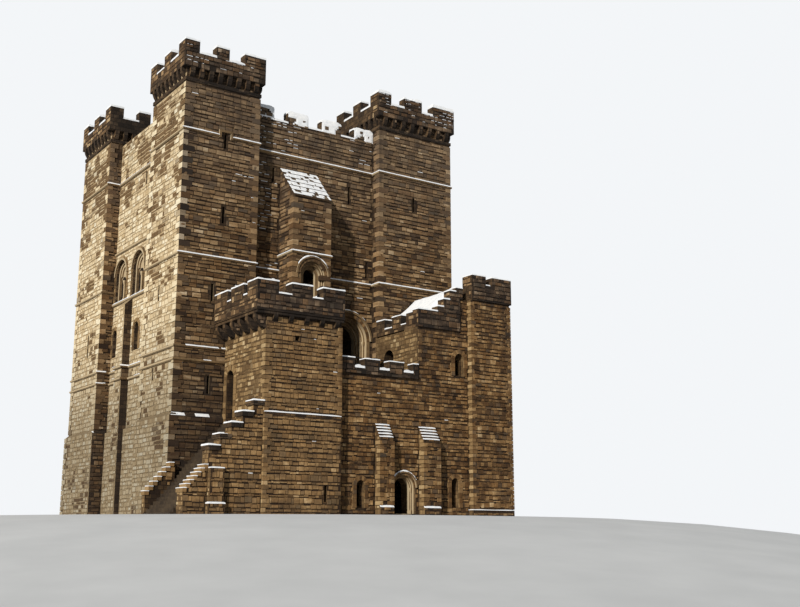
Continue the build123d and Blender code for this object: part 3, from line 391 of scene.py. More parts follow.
# size and roughness of the coursed stones: relief is how far they stand out on each side, and the wander
# of beds and ends is a share of the course's height and the stone's length
stoneCourses = {
    "keep": {"course": 0.245, "stone": 0.44},
    "forebuilding": {"course": 0.235, "stone": 0.31},
    "parapet": {"course": 0.26, "stone": 0.36},
    "bedJoint": 0.03,
    "endJoint": 0.026,
    "bedWander": 0.26,
    "endWander": 0.33,
    "leastWidth": 0.06,
    "relief": {"east": 0.055, "south": 0.03, "west": 0.04, "north": 0.04},
    "leastRelief": 0.3,
    "seed": 7,
}

keepWallFinish = wallMaterial("keepWalling", keepLook, stoneCourses["keep"])
forebuildingWallFinish = wallMaterial("forebuildingWalling", forebuildingLook, stoneCourses["forebuilding"])
parapetWallFinish = wallMaterial("parapetWalling", parapetLook, stoneCourses["parapet"])
keepStoneFinish = blockMaterial("keepStones", keepLook, (0.5, 0.5, 3.4), 0.45)
forebuildingStoneFinish = blockMaterial("forebuildingStones", forebuildingLook, (1.3, 1.3, 1.7), 0.5)
parapetStoneFinish = blockMaterial("parapetStones", parapetLook, (1.0, 1.0, 2.0), 0.5)
quoinFinish = blockMaterial("quoinStones", keepLook, (0.5, 0.5, 3.4), 0.25)
bandedQuoinFinish = blockMaterial("bandedQuoinStones", quoinLook, (0.5, 0.5, 3.4), 0.05)
archStoneFinish = blockMaterial("archStones", forebuildingLook, (1.3, 1.3, 1.7), 0.3)
mouldingFinish = plainStone("mouldedStone", tint(70, 54, 38), tint(136, 111, 78))
roofFinish = plainStone("roofSlabs", tint(60, 50, 41), tint(108, 93, 73), paintedSunAmount=0.0, upright=tint(62, 48, 34))
leadFinish = plainStone("roofLead", tint(92, 95, 98), tint(138, 141, 143), scale=3.0, depth=0.004)
floorFinish = plainStone("floorSlabs", tint(88, 76, 60), tint(138, 122, 98))
# painted shade: the steps are coloured dark for the shadow that falls into the stairwell
stepFinish = plainStone("stepsInPaintedShade", tint(40, 32, 25), tint(78, 65, 49), paintedSunAmount=0.0)
snowFinish = snowMaterial()
railFinish = ironMaterial()

finishes = [
    (keepWallFinish, keepWalls),
    (forebuildingWallFinish, forebuildingWalls),
    (parapetWallFinish, parapetWalls),
    (mouldingFinish, ["string_courses", "arch_hoods", "hall_doorway_orders", "projection_window_orders",
                      "chapel_doorway_orders", "south_twin_windows"]),
    (roofFinish, ["projection_roof", "upper_tower_roof"]),
    (leadFinish, ["roof_deck", "stair_tower_roof"]),
    (floorFinish, ["keep_floors", "chapel_floor", "chapel_vault", "landing"]),
    (railFinish, ["handrail"]),
    (stepFinish, ["lower_stair_core", "lower_stair_treads", "upper_stair_core", "upper_stair_treads"]),
]
finishByNode = {name: finish for finish, names in finishes for name in names}
for name, node in nodes.items():
    node.data.materials.clear()
    node.data.materials.append(finishByNode.get(name, mouldingFinish))
print("finishes set; without one of their own:", sorted(set(nodes) - set(finishByNode)))


def openTree(name, **kinds):
    # an empty geometry tree with its named inputs, listed by kind; each also takes a material
    tree = bench["tree"] = bpy.data.node_groups.new(name, "GeometryNodeTree")
    for kind, labels in {"Geometry": ["base"], **kinds, "Material": ["material"]}.items():
        for label in labels:
            tree.interface.new_socket(label, in_out="INPUT", socket_type="NodeSocket" + kind)
    tree.interface.new_socket("Geometry", in_out="OUTPUT", socket_type="NodeSocketGeometry")
    return SimpleNamespace(**{socket.name: socket for socket in put("NodeGroupInput").outputs if socket.name})


def closeTree(geometry):
    put("NodeGroupOutput", {0: geometry})
    return bench["tree"]


def chance(identity, low, high, seed):
    # a random value for each number; another seed gives another run of luck
    return put("FunctionNodeRandomValue", {2: low, 3: high, "ID": identity, "Seed": seed},
               data_type="FLOAT").outputs[1]


def pick(condition, no, yes):
    return make("GeometryNodeSwitch", {0: condition, 1: no, 2: yes}, input_type="FLOAT")


def keepValue(geometry, name, value, kind="FLOAT"):
    return make("GeometryNodeStoreNamedAttribute", {"Geometry": geometry, "Name": name, "Value": value},
                data_type=kind, domain="POINT")


def readAttribute(name, kind="FLOAT"):
    return make("GeometryNodeInputNamedAttribute", {0: name}, data_type=kind)


def moveTo(geometry, position=None, offset=None):
    return make("GeometryNodeSetPosition", {"Geometry": geometry, "Position": position, "Offset": offset})


def numbered(count):
    # that many loose points, and the number that each of them has
    return make("GeometryNodePoints", {"Count": count}), make("GeometryNodeInputIndex")


def markStones(points, tone, patch, size):
    # everything that depends on a point's number is stored before a point is moved or dropped
    held = keepValue(points, "stoneTone", tone)
    if patch is not None:
        held = keepValue(held, "stonePatch", patch)
    return keepValue(held, "stoneSize", size, "FLOAT_VECTOR")


def here():
    return make("GeometryNodeInputPosition")


def blockMesh(insetAcross, insetUp):
    # unit block whose outer face is a little smaller than its back
    x, y, z = parts(here())
    front = calc("GREATER_THAN", z, 0.0)
    narrow, low = times(x, pick(front, 1.0, insetAcross)), times(y, pick(front, 1.0, insetUp))
    return moveTo(make("GeometryNodeMeshCube"), vector(narrow, low, z))


def roughen(geometry, amount, scale):
    # moves each corner a little so that no two stones are alike
    field = put("ShaderNodeTexNoise", {"Vector": here(), "Scale": scale}).outputs["Color"]
    shift = make("ShaderNodeVectorMath", {0: field, 1: (0.5, 0.5, 0.5)}, operation="SUBTRACT")
    return moveTo(geometry, offset=make("ShaderNodeVectorMath", {0: shift, "Scale": amount}, operation="SCALE"))


def dress(geometry, material):
    return make("GeometryNodeSetMaterial", {"Geometry": geometry, "Material": material})


def layBlocks(points, block, material, rough, roughScale, turn=None):
    # one block on each point, sized by the point's own stoneSize
    laid = make("GeometryNodeInstanceOnPoints", {
        "Points": points, "Instance": block, "Rotation": turn,
        "Scale": readAttribute("stoneSize", "FLOAT_VECTOR")})
    return dress(roughen(make("GeometryNodeRealizeInstances", {0: laid}), rough, roughScale), material)


def stand(name, data):
    made = bpy.data.objects.new(name, data)
    bpy.context.scene.collection.objects.link(made)
    return made


def meshOf(name, corners, faces, edges=()):
    mesh = bpy.data.meshes.new(name)
    mesh.from_pydata(corners, edges, faces)
    return mesh


def boxFaces(start):
    # the sides of a box whose eight corners begin at that number
    return [[start + index for index in loop] for loop in (
        (3, 2, 1, 0), (4, 5, 6, 7), (0, 1, 5, 4), (1, 2, 6, 5), (2, 3, 7, 6), (3, 0, 4, 7))]


def grow(tree, values, base=None, place=None):
    # runs a tree on a helper object and returns the finished mesh in frame coordinates
    helper = stand("helper", base or bpy.data.meshes.new("seedMesh"))
    helper.matrix_world = place or Matrix.Identity(4)
    modifier = helper.modifiers.new("tree", "NODES")
    modifier.node_group = tree
    for item in tree.interface.items_tree:
        if item.in_out == "INPUT" and item.name in values:
            modifier[item.identifier] = values[item.name]
    bpy.context.view_layer.update()
    graph = bpy.context.evaluated_depsgraph_get()
    made = bpy.data.meshes.new_from_object(helper.evaluated_get(graph), depsgraph=graph)
    made.transform(helper.matrix_world)
    helper.modifiers.clear()
    bpy.data.objects.remove(helper)
    return made


def addPiece(name, mesh, material):
    mesh.materials.clear()
    mesh.materials.append(material)
    piece = stand(name, mesh)
    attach(piece, "root")
    print(name, len(mesh.polygons), "faces")
    return mesh


def meshCorners(mesh):
    place = np.empty(len(mesh.vertices) * 3)
    mesh.vertices.foreach_get("co", place)
    return place.reshape(-1, 3)


def gather(meshes):
    # the corners and faces of several meshes, numbered through
    corners, faces, start = [meshCorners(mesh) for mesh in meshes], [], 0
    for mesh in meshes:
        faces += [[start + index for index in polygon.vertices] for polygon in mesh.polygons]
        start += len(mesh.vertices)
    return np.vstack(corners).tolist(), faces


def joinMeshes(name, meshes, material, sunSide=1.0):
    # one plain mesh from several, with the tone and the cluster value of each stone kept
    joined = meshOf(name, *gather(meshes))
    kept = {"stoneTone": [], "stonePatch": [], "sunSide": [np.full(len(joined.vertices), sunSide)]}
    for mesh in meshes:
        for label in ("stoneTone", "stonePatch"):
            value = np.full(len(mesh.vertices), 0.5)
            if label in mesh.attributes:
                mesh.attributes[label].data.foreach_get("value", value)
            kept[label].append(value)
    for label, values in kept.items():
        joined.attributes.new(label, "FLOAT", "POINT").data.foreach_set("value", np.concatenate(values))
    joined.update()
    return addPiece(name, joined, material)


def makeSurvey():
    # all the walls in one mesh that the rays of the facing tree measure against
    zoneByNode = {name: zone for zone, names in (
        (3, parapetWalls), (2, forebuildingWalls), (1, keepWalls + ["projection_roof"])) for name in names}
    skipped = ("string_courses", "arch_hoods", "handrail", "stair_copings")
    measured = [name for name in nodes if name not in skipped]
    mesh = meshOf("survey", *gather([nodes[name].data for name in measured]))
    zones = [zoneByNode.get(name, 0) for name in measured for polygon in nodes[name].data.polygons]
    mesh.attributes.new("zone", "FLOAT", "FACE").data.foreach_set("value", zones)
    return stand("survey", mesh)


survey = makeSurvey()

directions = {
    "east": ((1, 0, 0), (0, -1, 0)),
    "south": ((0, -1, 0), (-1, 0, 0)),
    "west": ((-1, 0, 0), (0, 1, 0)),
    "north": ((0, 1, 0), (1, 0, 0)),
}


def wallPlane(side, distance, start, level=0.0):
    # matrix of an upright plane: its X runs along the wall, its Y is up, its Z looks out
    along, out = (Vector(v) for v in directions[side])
    columns = Matrix((along, Vector((0, 0, 1)), out)).transposed().to_4x4()
    columns.translation = out * distance + along * start + Vector((0, 0, level))
    return columns


def facingTree():
    # coursed stones laid on whatever wall the rays meet
    given = openTree("coursedFacing", Object=["survey"], Int=["seed"], Float=[
        "width", "height", "reach", "zone", "course", "stone", "bedJoint", "endJoint", "relief"])
    seed, course, stone = given.seed, given.course, given.stone
    columns = plus(calc("CEIL", over(given.width, stone)), 1.0)
    rows = calc("CEIL", over(given.height, course))
    points, index = numbered(times(columns, rows))
    row = calc("FLOOR", over(plus(index, 0.5), columns))
    column = less(index, times(row, columns))
    stagger = times(chance(row, 0.1, 0.9, 91), stone)
    margin, evenDepth, rooted = 0.025, 0.012, 0.03
    bedWander, endWander = stoneCourses["bedWander"], stoneCourses["endWander"]

    def bedLevel(rowNumber):
        return plus(times(rowNumber, course), times(chance(rowNumber, -bedWander, bedWander, seed), course))

    def jointPlace(columnNumber):
        shift = times(chance(plus(times(row, 613.0), columnNumber), -endWander, endWander, seed), stone)
        return plus(plus(times(less(columnNumber, 1.0), stone), shift), stagger)

    low = plus(bedLevel(row), chance(index, -0.015, 0.04, 51))
    high = less(bedLevel(plus(row, 1.0)), chance(index, -0.015, 0.045, 52))
    left, right = jointPlace(column), jointPlace(plus(column, 1.0))
    middle = times(plus(left, right), 0.5)
    target = put("GeometryNodeObjectInfo", {0: given.survey}, transform_space="RELATIVE").outputs["Geometry"]
    zoneRead = readAttribute("zone")

    def probe(across, up):
        # a ray from the start plane: is the right wall there, square to the ray, and how deep
        ray = put("GeometryNodeRaycast", {
            "Target Geometry": target, "Attribute": zoneRead, "Source Position": vector(across, up, 0.0),
            "Ray Direction": (0, 0, -1), "Ray Length": given.reach,
        }, data_type="FLOAT", mapping="NEAREST").outputs
        outward = calc("GREATER_THAN", parts(ray["Hit Normal"])[2], 0.9)
        sameZone = calc("COMPARE", ray["Attribute"], given.zone, 0.1)
        return times(times(outward, sameZone), ray["Is Hit"]), ray["Hit Distance"]

    def edgeProbe(across, reference=None):
        lowGood, lowDepth = probe(across, plus(low, margin))
        highGood, highDepth = probe(across, less(high, margin))
        good = times(times(lowGood, highGood), calc("COMPARE", lowDepth, highDepth, evenDepth))
        if reference is not None:
            good = times(good, calc("COMPARE", lowDepth, reference, evenDepth))
        return good, lowDepth

    middleGood, depth = edgeProbe(middle)
    halves = []
    for edge in (plus(left, margin), less(right, margin)):
        # each half is tried at its end and on the way there, so that narrow loops stay open
        good = edgeProbe(edge, depth)[0]
        for share in (0.36, 0.7):
            between = plus(times(edge, share), times(middle, 1 - share))
            good = times(good, edgeProbe(between, depth)[0])
        halves.append(good)
    begin, end = pick(halves[0], middle, left), pick(halves[1], middle, right)
    width, height = less(less(end, begin), given.endJoint), less(less(high, low), given.bedJoint)
    relief = times(given.relief, chance(index, stoneCourses["leastRelief"], 1.0, seed))
    held = markStones(points, chance(index, 0.0, 1.0, 5), None, vector(width, height, plus(relief, rooted)))
    wideEnough = calc("GREATER_THAN", width, stoneCourses["leastWidth"])
    held = keepValue(held, "stoneKept", times(middleGood, wideEnough))
    held = keepValue(held, "stoneLuck", chance(index, -0.09, 0.09, 31))
    laid = moveTo(held, vector(times(plus(begin, end), 0.5), times(plus(low, high), 0.5),
                               less(times(less(relief, rooted), 0.5), depth)))
    standing = make("GeometryNodeDeleteGeometry", {
        "Geometry": laid, "Selection": calc("LESS_THAN", readAttribute("stoneKept"), 0.5)}, domain="POINT")
    cluster = plus(noise(here(), 0.55, 3.0), readAttribute("stoneLuck"))
    clustered = keepValue(standing, "stonePatch", cluster)
    return closeTree(layBlocks(clustered, blockMesh(0.94, 0.88), given.material, 0.03, 6.0))


facingStones = facingTree()

# side, distance of the start plane, start along the wall, width, height, reach
surveyLayers = [
    ("east", 20.0, -11.6, 22.0, 14.6, 9.2),
    ("east", 10.7, -9.7, 19.4, 27.4, 3.4),
    ("east", -3.4, -9.5, 0.95, 22.8, 0.6),
    ("south", 20.0, -8.95, 22.8, 27.4, 14.5),
    ("south", 4.7, 7.7, 2.2, 22.0, 2.6),
    ("south", 1.8, 7.7, 6.0, 27.0, 6.2),
    ("south", -1.6, 12.9, 0.7, 5.6, 2.6),
    ("south", -4.5, 8.5, 5.0, 14.6, 3.0),
    ("north", 20.0, -13.7, 22.7, 27.4, 12.6),
    ("north", 3.8, -13.7, 6.1, 27.0, 9.2),
    ("west", 20.0, -9.7, 19.4, 27.4, 13.0),
]
wallZones = [
    (1, "keep", keepStoneFinish, "keep_sandstone"),
    (2, "forebuilding", forebuildingStoneFinish, "forebuilding_sandstone"),
    (3, "parapet", parapetStoneFinish, "parapet_stone"),
]

facedMeshes = {}
for zone, walling, finish, slotName in wallZones:
    for side in directions:
        grown = [grow(facingStones, {
            **stoneCourses, **stoneCourses[walling], "survey": survey, "zone": float(zone),
            "width": width, "height": height, "reach": reach, "relief": stoneCourses["relief"][side],
            "seed": stoneCourses["seed"] + number, "material": finish}, place=wallPlane(side, distance, start))
            for number, (layerSide, distance, start, width, height, reach) in enumerate(surveyLayers)
            if layerSide == side]
        if any(len(mesh.polygons) for mesh in grown):
            pieceName = walling + "Stones" + side.capitalize()
            # only the south pieces take the painted sunlit colours
            facedMeshes[pieceName] = joinMeshes(pieceName, grown, finish, float(side == "south"))
print("walls faced")
bpy.data.objects.remove(survey)

# long and short blocks up each corner; proud is how far they stand out of the walling
quoins = {
    "course": 0.32,
    "bedJoint": 0.022,
    "longSide": 0.58,
    "shortSide": 0.34,
    "forebuildingShare": 0.7,
    "proud": 0.05,
    "bandedFrom": 14.8,
    "bandedTo": 22.1,
    "seed": 12,
}


def quoinTree():
    given = openTree("quoinStack", Float=["course", "longSide", "shortSide", "proud"], Int=["seed"])
    line = make("GeometryNodeMeshToCurve", {0: given.base})
    beds = make("GeometryNodeResampleCurve", {"Curve": line, "Length": given.course}, mode="LENGTH")
    points = make("GeometryNodeCurveToPoints", {0: beds}, mode="EVALUATED")
    number = make("GeometryNodeInputIndex")
    odd = calc("MODULO", number, 2.0)
    inward = parts(readAttribute("inward", "FLOAT_VECTOR"))
    reachX = times(chance(number, 0.8, 1.2, given.seed), pick(odd, given.longSide, given.shortSide))
    reachY = times(chance(number, 0.8, 1.2, 44), pick(odd, given.shortSide, given.longSide))
    shifts = [times(way, less(times(reach, 0.5), given.proud))
              for reach, way in ((reachX, inward[0]), (reachY, inward[1]))]
    tone = plus(chance(number, 0.0, 0.45, 3), times(odd, 0.5))
    held = markStones(points, tone, chance(number, 0.3, 0.62, 8),
                      vector(reachX, reachY, less(given.course, quoins["bedJoint"])))
    stack = moveTo(held, offset=vector(*shifts, times(given.course, 0.5)))
    return closeTree(layBlocks(stack, make("GeometryNodeMeshCube"), given.material, 0.02, 5.0))


def cornerLines(corners):
    # upright lines, each with the direction that leads into the masonry
    points, edges, inward = [], [], []
    for x, y, inX, inY, low, high in corners:
        edges.append((len(points), len(points) + 1))
        points += [(x, y, low), (x, y, high - quoins["course"])]
        inward += [inX, inY, 0.0] * 2
    mesh = meshOf("cornerLines", points, [], edges)
    mesh.attributes.new("inward", "FLOAT_VECTOR", "POINT").data.foreach_set("vector", inward)
    return mesh


# the keep's corners stand back from its box by the plinth's step
plinthStep, plinthTop, shaftFoot, shaftTop = 0.16, 5.4, 5.6, 24.55
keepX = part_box("northeast_turret")[1].x - plinthStep
keepY = -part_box("northeast_turret")[0].y - plinthStep
turretReturns = {"south": -keepX + 4.7, "north": keepX - 5.6, "front": -keepY + 4.7, "back": keepY - 4.9}

keepCorners = []
for x, inX in ((-keepX, 1), (keepX, -1)):
    for y, inY in ((-keepY, 1), (keepY, -1)):
        if inX > 0 and inY > 0:
            keepCorners.append((x, y, inX, inY, shaftFoot, quoins["bandedFrom"]))
            keepCorners.append((x, y, inX, inY, quoins["bandedTo"], shaftTop))
        else:
            keepCorners.append((x, y, inX, inY, shaftFoot, shaftTop))
        keepCorners.append((x - inX * plinthStep, y - inY * plinthStep, inX, inY, 0.0, plinthTop))
for x, inX in ((turretReturns["south"], -1), (turretReturns["north"], 1)):
    keepCorners.append((x, -keepY, inX, 1, shaftFoot, shaftTop))
    keepCorners.append((x, keepY, inX, -1, shaftFoot, shaftTop))
for y, inY in ((turretReturns["front"], -1), (turretReturns["back"], 1)):
    keepCorners.append((-keepX, y, 1, inY, shaftFoot, shaftTop))
    keepCorners.append((keepX, y, -1, inY, shaftFoot, shaftTop))
projectionLow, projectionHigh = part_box("east_projection")
keepCorners.append((projectionLow.x, projectionLow.y, 1, 1, 5.0, 18.6))
keepCorners.append((projectionHigh.x, projectionLow.y, -1, 1, 8.0, 18.6))
forebuildingCorners = [
    (-6.45, -13.49, 1, 1, 0.0, 5.3),
    (-6.45, -13.4, 1, 1, 5.35, 9.7),
    (-1.85, -13.4, -1, 1, 0.0, 10.3),
    (7.25, -13.35, 1, 1, 0.6, 12.9),
    (10.25, -13.35, -1, 1, 0.6, 12.9),
    (3.65, -13.0, 1, 1, 8.7, 10.9),
    (0.67, -13.5, 1, 1, 0.7, 4.3),
    (1.53, -13.5, -1, 1, 0.7, 4.3),
    (3.62, -13.5, 1, 1, 0.7, 4.3),
    (4.73, -13.5, -1, 1, 0.7, 4.3),
]
bandedCorners = [(-keepX, -keepY, 1, 1, quoins["bandedFrom"], quoins["bandedTo"])]
stackTree = quoinTree()
for pieceName, corners, finish, share in (
        ("keepQuoins", keepCorners, quoinFinish, 1.0),
        ("bandedQuoins", bandedCorners, bandedQuoinFinish, 1.05),
        ("forebuildingQuoins", forebuildingCorners, forebuildingStoneFinish, quoins["forebuildingShare"])):
    scaled = {key: quoins[key] * share for key in ("course", "longSide", "shortSide")}
    stack = grow(stackTree, {**quoins, **scaled, "material": finish}, base=cornerLines(corners))
    joinMeshes(pieceName, [stack], finish)
print("quoins laid")

# Wedge-shaped stones round the arches and squared ones up their sides: side, distance, centre along the wall,
# sill (none where no jamb stones are set), springing, inner and outer edge, stones in the ring and up a side.
arches = {
    "proud": 0.02,
    "rooted": 0.05,
    "joint": 0.014,
    "narrow": 0.215,
    "openings": [
        ("east", 7.7, 2.05, None, 10.85, 1.43, 1.64, 25, 0),
        ("east", 9.45, -1.45, None, 14.05, 0.81, 0.99, 19, 0),
        ("east", 13.0, 2.58, None, 1.72, 0.67, 0.79, 15, 0),
        ("east", 13.0, -0.3, 0.55, 1.76, 0.27, 0.5, 9, 5),
        ("east", 13.0, 6.55, 8.29, 9.28, 0.34, 0.58, 9, 4),
        ("east", 13.0, 6.15, 0.65, 2.06, 0.27, 0.5, 9, 5),
        ("south", 6.45, 9.35, 5.0, 7.5, 0.46, 0.76, 13, 8),
        ("south", 8.65, 0.5, 13.7, 15.45, 0.97, 1.2, 17, 7),
        ("south", 8.65, -2.45, 13.7, 15.45, 0.97, 1.2, 17, 7),
        ("south", 8.65, 0.64, 10.15, 11.5, 0.39, 0.62, 9, 5),
        ("south", 8.65, -3.0, 10.15, 11.5, 0.39, 0.62, 9, 5),
        ("north", 8.65, -1.8, None, 15.45, 0.71, 0.98, 13, 0),
        ("north", 8.65, 1.8, None, 15.45, 0.71, 0.98, 13, 0),
        ("west", 7.7, 2.6, None, 15.45, 0.71, 0.98, 13, 0),
        ("west", 7.7, -1.9, None, 15.45, 0.71, 0.98, 13, 0),
    ],
    "ringSeed": 20,
    "jambSeed": 40,
}


def archTree():
    # wedge stones round a half circle; the helper's plane holds the circle
    given = openTree("archRing", Int=["count", "seed"], Float=["inner", "outer", "thick", "joint", "proud"])
    points, index = numbered(given.count)
    pitch = over(math.pi, given.count)
    angle = times(plus(index, 0.5), pitch)
    radius = times(plus(given.inner, given.outer), 0.5)
    across, length = less(times(radius, pitch), given.joint), less(given.outer, given.inner)
    held = markStones(points, chance(index, 0.05, 0.8, given.seed), chance(index, 0.25, 0.6, 6),
                      vector(across, length, given.thick))
    held = keepValue(held, "stoneTurn", vector(0.0, 0.0, less(angle, math.pi / 2)), "FLOAT_VECTOR")
    depth = less(plus(given.proud, chance(index, -0.004, 0.006, 2)), times(given.thick, 0.5))
    ring = moveTo(held, vector(times(radius, calc("COSINE", angle)), times(radius, calc("SINE", angle)), depth))
    # each wedge narrows towards the centre of the arch
    x, y, z = parts(here())
    grew = plus(1.0, times(y, over(length, radius)))
    wedge = moveTo(make("GeometryNodeMeshCube"), vector(times(x, grew), y, z))
    turn = readAttribute("stoneTurn", "FLOAT_VECTOR")
    return closeTree(layBlocks(ring, wedge, given.material, 0.008, 6.0, turn))


def jambTree():
    # squared stones up both sides of an opening
    given = openTree("jambStack", Int=["count", "seed"], Float=[
        "inner", "outer", "rise", "thick", "joint", "proud"])
    points, index = numbered(times(given.count, 2.0))
    side = less(times(calc("MODULO", index, 2.0), 2.0), 1.0)
    course = over(given.rise, given.count)
    row = calc("FLOOR", times(index, 0.5))
    reach = times(less(given.outer, given.inner), chance(index, 0.75, 1.25, given.seed))
    held = markStones(points, chance(index, 0.0, 0.6, given.seed), chance(index, 0.25, 0.6, 6),
                      vector(reach, less(course, given.joint), given.thick))
    place = vector(times(side, plus(given.inner, times(reach, 0.5))), times(plus(row, 0.5), course),
                   less(given.proud, times(given.thick, 0.5)))
    return closeTree(layBlocks(moveTo(held, place), make("GeometryNodeMeshCube"), given.material, 0.01, 6.0))


ringTree, sideTree = archTree(), jambTree()
voussoirs, jambStones = [], []
for side, distance, centre, sill, spring, inner, outer, ringCount, sideCount in arches["openings"]:
    relief = stoneCourses["relief"][side]
    setting = {**arches, "inner": inner, "outer": outer, "thick": arches["proud"] + arches["rooted"] + relief,
               "material": archStoneFinish}
    # a narrow ring lies back in its wall, a wide one comes out as far as the stones beside it
    voussoirs.append(grow(ringTree, {
        **setting, "count": ringCount, "proud": arches["proud"] + relief * (outer - inner > arches["narrow"]),
        "seed": arches["ringSeed"] + len(voussoirs)}, place=wallPlane(side, distance, centre, spring)))
    if sideCount:
        jambStones.append(grow(sideTree, {
            **setting, "count": sideCount, "rise": spring - sill, "proud": arches["proud"] + relief,
            "seed": arches["jambSeed"] + len(jambStones)}, place=wallPlane(side, distance, centre, sill)))
joinMeshes("archVoussoirs", voussoirs, archStoneFinish)
joinMeshes("windowJambStones", jambStones, archStoneFinish)
print("arches ringed")

# leaded glass in the windows of the keep, near black as painted shade of the rooms behind: side, distance,
# centre, sill, springing, half width
glazing = {
    "thickness": 0.012,
    "letIn": 0.006,
    "leadWidth": 0.022,
    "leadPitch": 0.17,
    "lights": [
        ("south", 8.303, 0.07, 13.74, 15.08, 0.35), ("south", 8.303, 0.93, 13.74, 15.08, 0.35),
        ("south", 8.303, -2.02, 13.74, 15.08, 0.35), ("south", 8.303, -2.88, 13.74, 15.08, 0.35),
        ("south", 8.3, 0.64, 10.15, 11.5, 0.38), ("south", 8.3, -3.0, 10.15, 11.5, 0.38),
        ("north", 8.3, -1.8, 13.7, 15.45, 0.7), ("north", 8.3, 1.8, 13.7, 15.45, 0.7),
        ("west", 7.35, 2.6, 13.7, 15.45, 0.7), ("west", 7.35, -1.9, 13.7, 15.45, 0.7),
    ],
}


def paneMesh(half, rise):
    # a closed pane with a round head, let a little way into the stone
    wide, deep, steps = half + glazing["letIn"], glazing["thickness"] / 2, 12
    rim = [(-wide, -glazing["letIn"]), (wide, -glazing["letIn"])]
    for step in range(steps + 1):
        angle = math.pi * step / steps
        rim.append((wide * math.cos(angle), rise + wide * math.sin(angle)))
    count = len(rim)
    sides = [(i, (i + 1) % count, count + (i + 1) % count, count + i) for i in range(count)]
    faces = [tuple(range(count, 2 * count)), tuple(reversed(range(count)))] + sides
    return meshOf("pane", [(x, y, -deep) for x, y in rim] + [(x, y, deep) for x, y in rim], faces)


def leadMesh(half, rise):
    # upright and level lead bars, each a thin closed strip that ends at the stone
    corners, faces = [], []
    pitch, wide, deep = glazing["leadPitch"], glazing["leadWidth"] / 2, glazing["thickness"]

    def addBar(x0, x1, y0, y1, depth):
        faces.extend(boxFaces(len(corners)))
        corners.extend((x, y, z) for z in (-depth, depth) for x, y in ((x0, y0), (x1, y0), (x1, y1), (x0, y1)))

    count = max(round(2 * half / pitch), 2)
    for step in range(1, count):
        x = -half + 2 * half * step / count
        addBar(x - wide, x + wide, 0.0, rise + math.sqrt(max(half * half - x * x, 0)), deep)
    for step in range(1, int((rise + half) / pitch)):
        y = step * pitch
        reach = half if y < rise else math.sqrt(max(half * half - (y - rise) ** 2, 0.01))
        addBar(-reach, reach, y - wide, y + wide, deep * 0.8)
    return meshOf("leads", corners, faces)


panes, leads = [], []
for side, distance, centre, sill, spring, half in glazing["lights"]:
    for made, meshes in ((paneMesh, panes), (leadMesh, leads)):
        mesh = made(half, spring - sill)
        mesh.transform(wallPlane(side, distance, centre, sill))
        meshes.append(mesh)
joinMeshes("windowGlass", panes, glassMaterial())
joinMeshes("windowLeads", leads, railFinish)
print("windows glazed")

# stepped copings on the two sloping parapets at the foot of the lower flight
slopeCoping = {
    "steps": 7,
    "height": 0.2,
    "outer": {"foot": (-10.76, -13.015, 1.14), "head": (-9.48, -13.015, 2.5), "width": 0.83},
    "inner": {"foot": (-10.99, -8.9, 1.1), "head": (-9.45, -8.9, 2.86), "width": 0.5},
}


def copingTree():
    # one block on each step of a straight slope
    given = openTree("steppedCoping", Int=["steps"], Vector=["foot", "head"], Float=["width", "height"])
    points, index = numbered(given.steps)
    share = over(plus(index, 0.5), given.steps)
    foot, head = parts(given.foot), parts(given.head)
    run = over(less(head[0], foot[0]), given.steps)
    place = [plus(low, times(less(high, low), share)) for low, high in zip(foot, head)]
    held = markStones(points, chance(index, 0.1, 0.7, 5), None,
                      vector(times(run, 1.12), given.width, given.height))
    blocks = moveTo(held, vector(*place))
    return closeTree(layBlocks(blocks, make("GeometryNodeMeshCube"), given.material, 0.014, 5.0))


slopeTree = copingTree()
slopes = [grow(slopeTree, {**slopeCoping, **slopeCoping[which], "material": forebuildingStoneFinish})
          for which in ("outer", "inner")]
slopeMesh = joinMeshes("stairSlopeCopings", slopes, forebuildingStoneFinish)

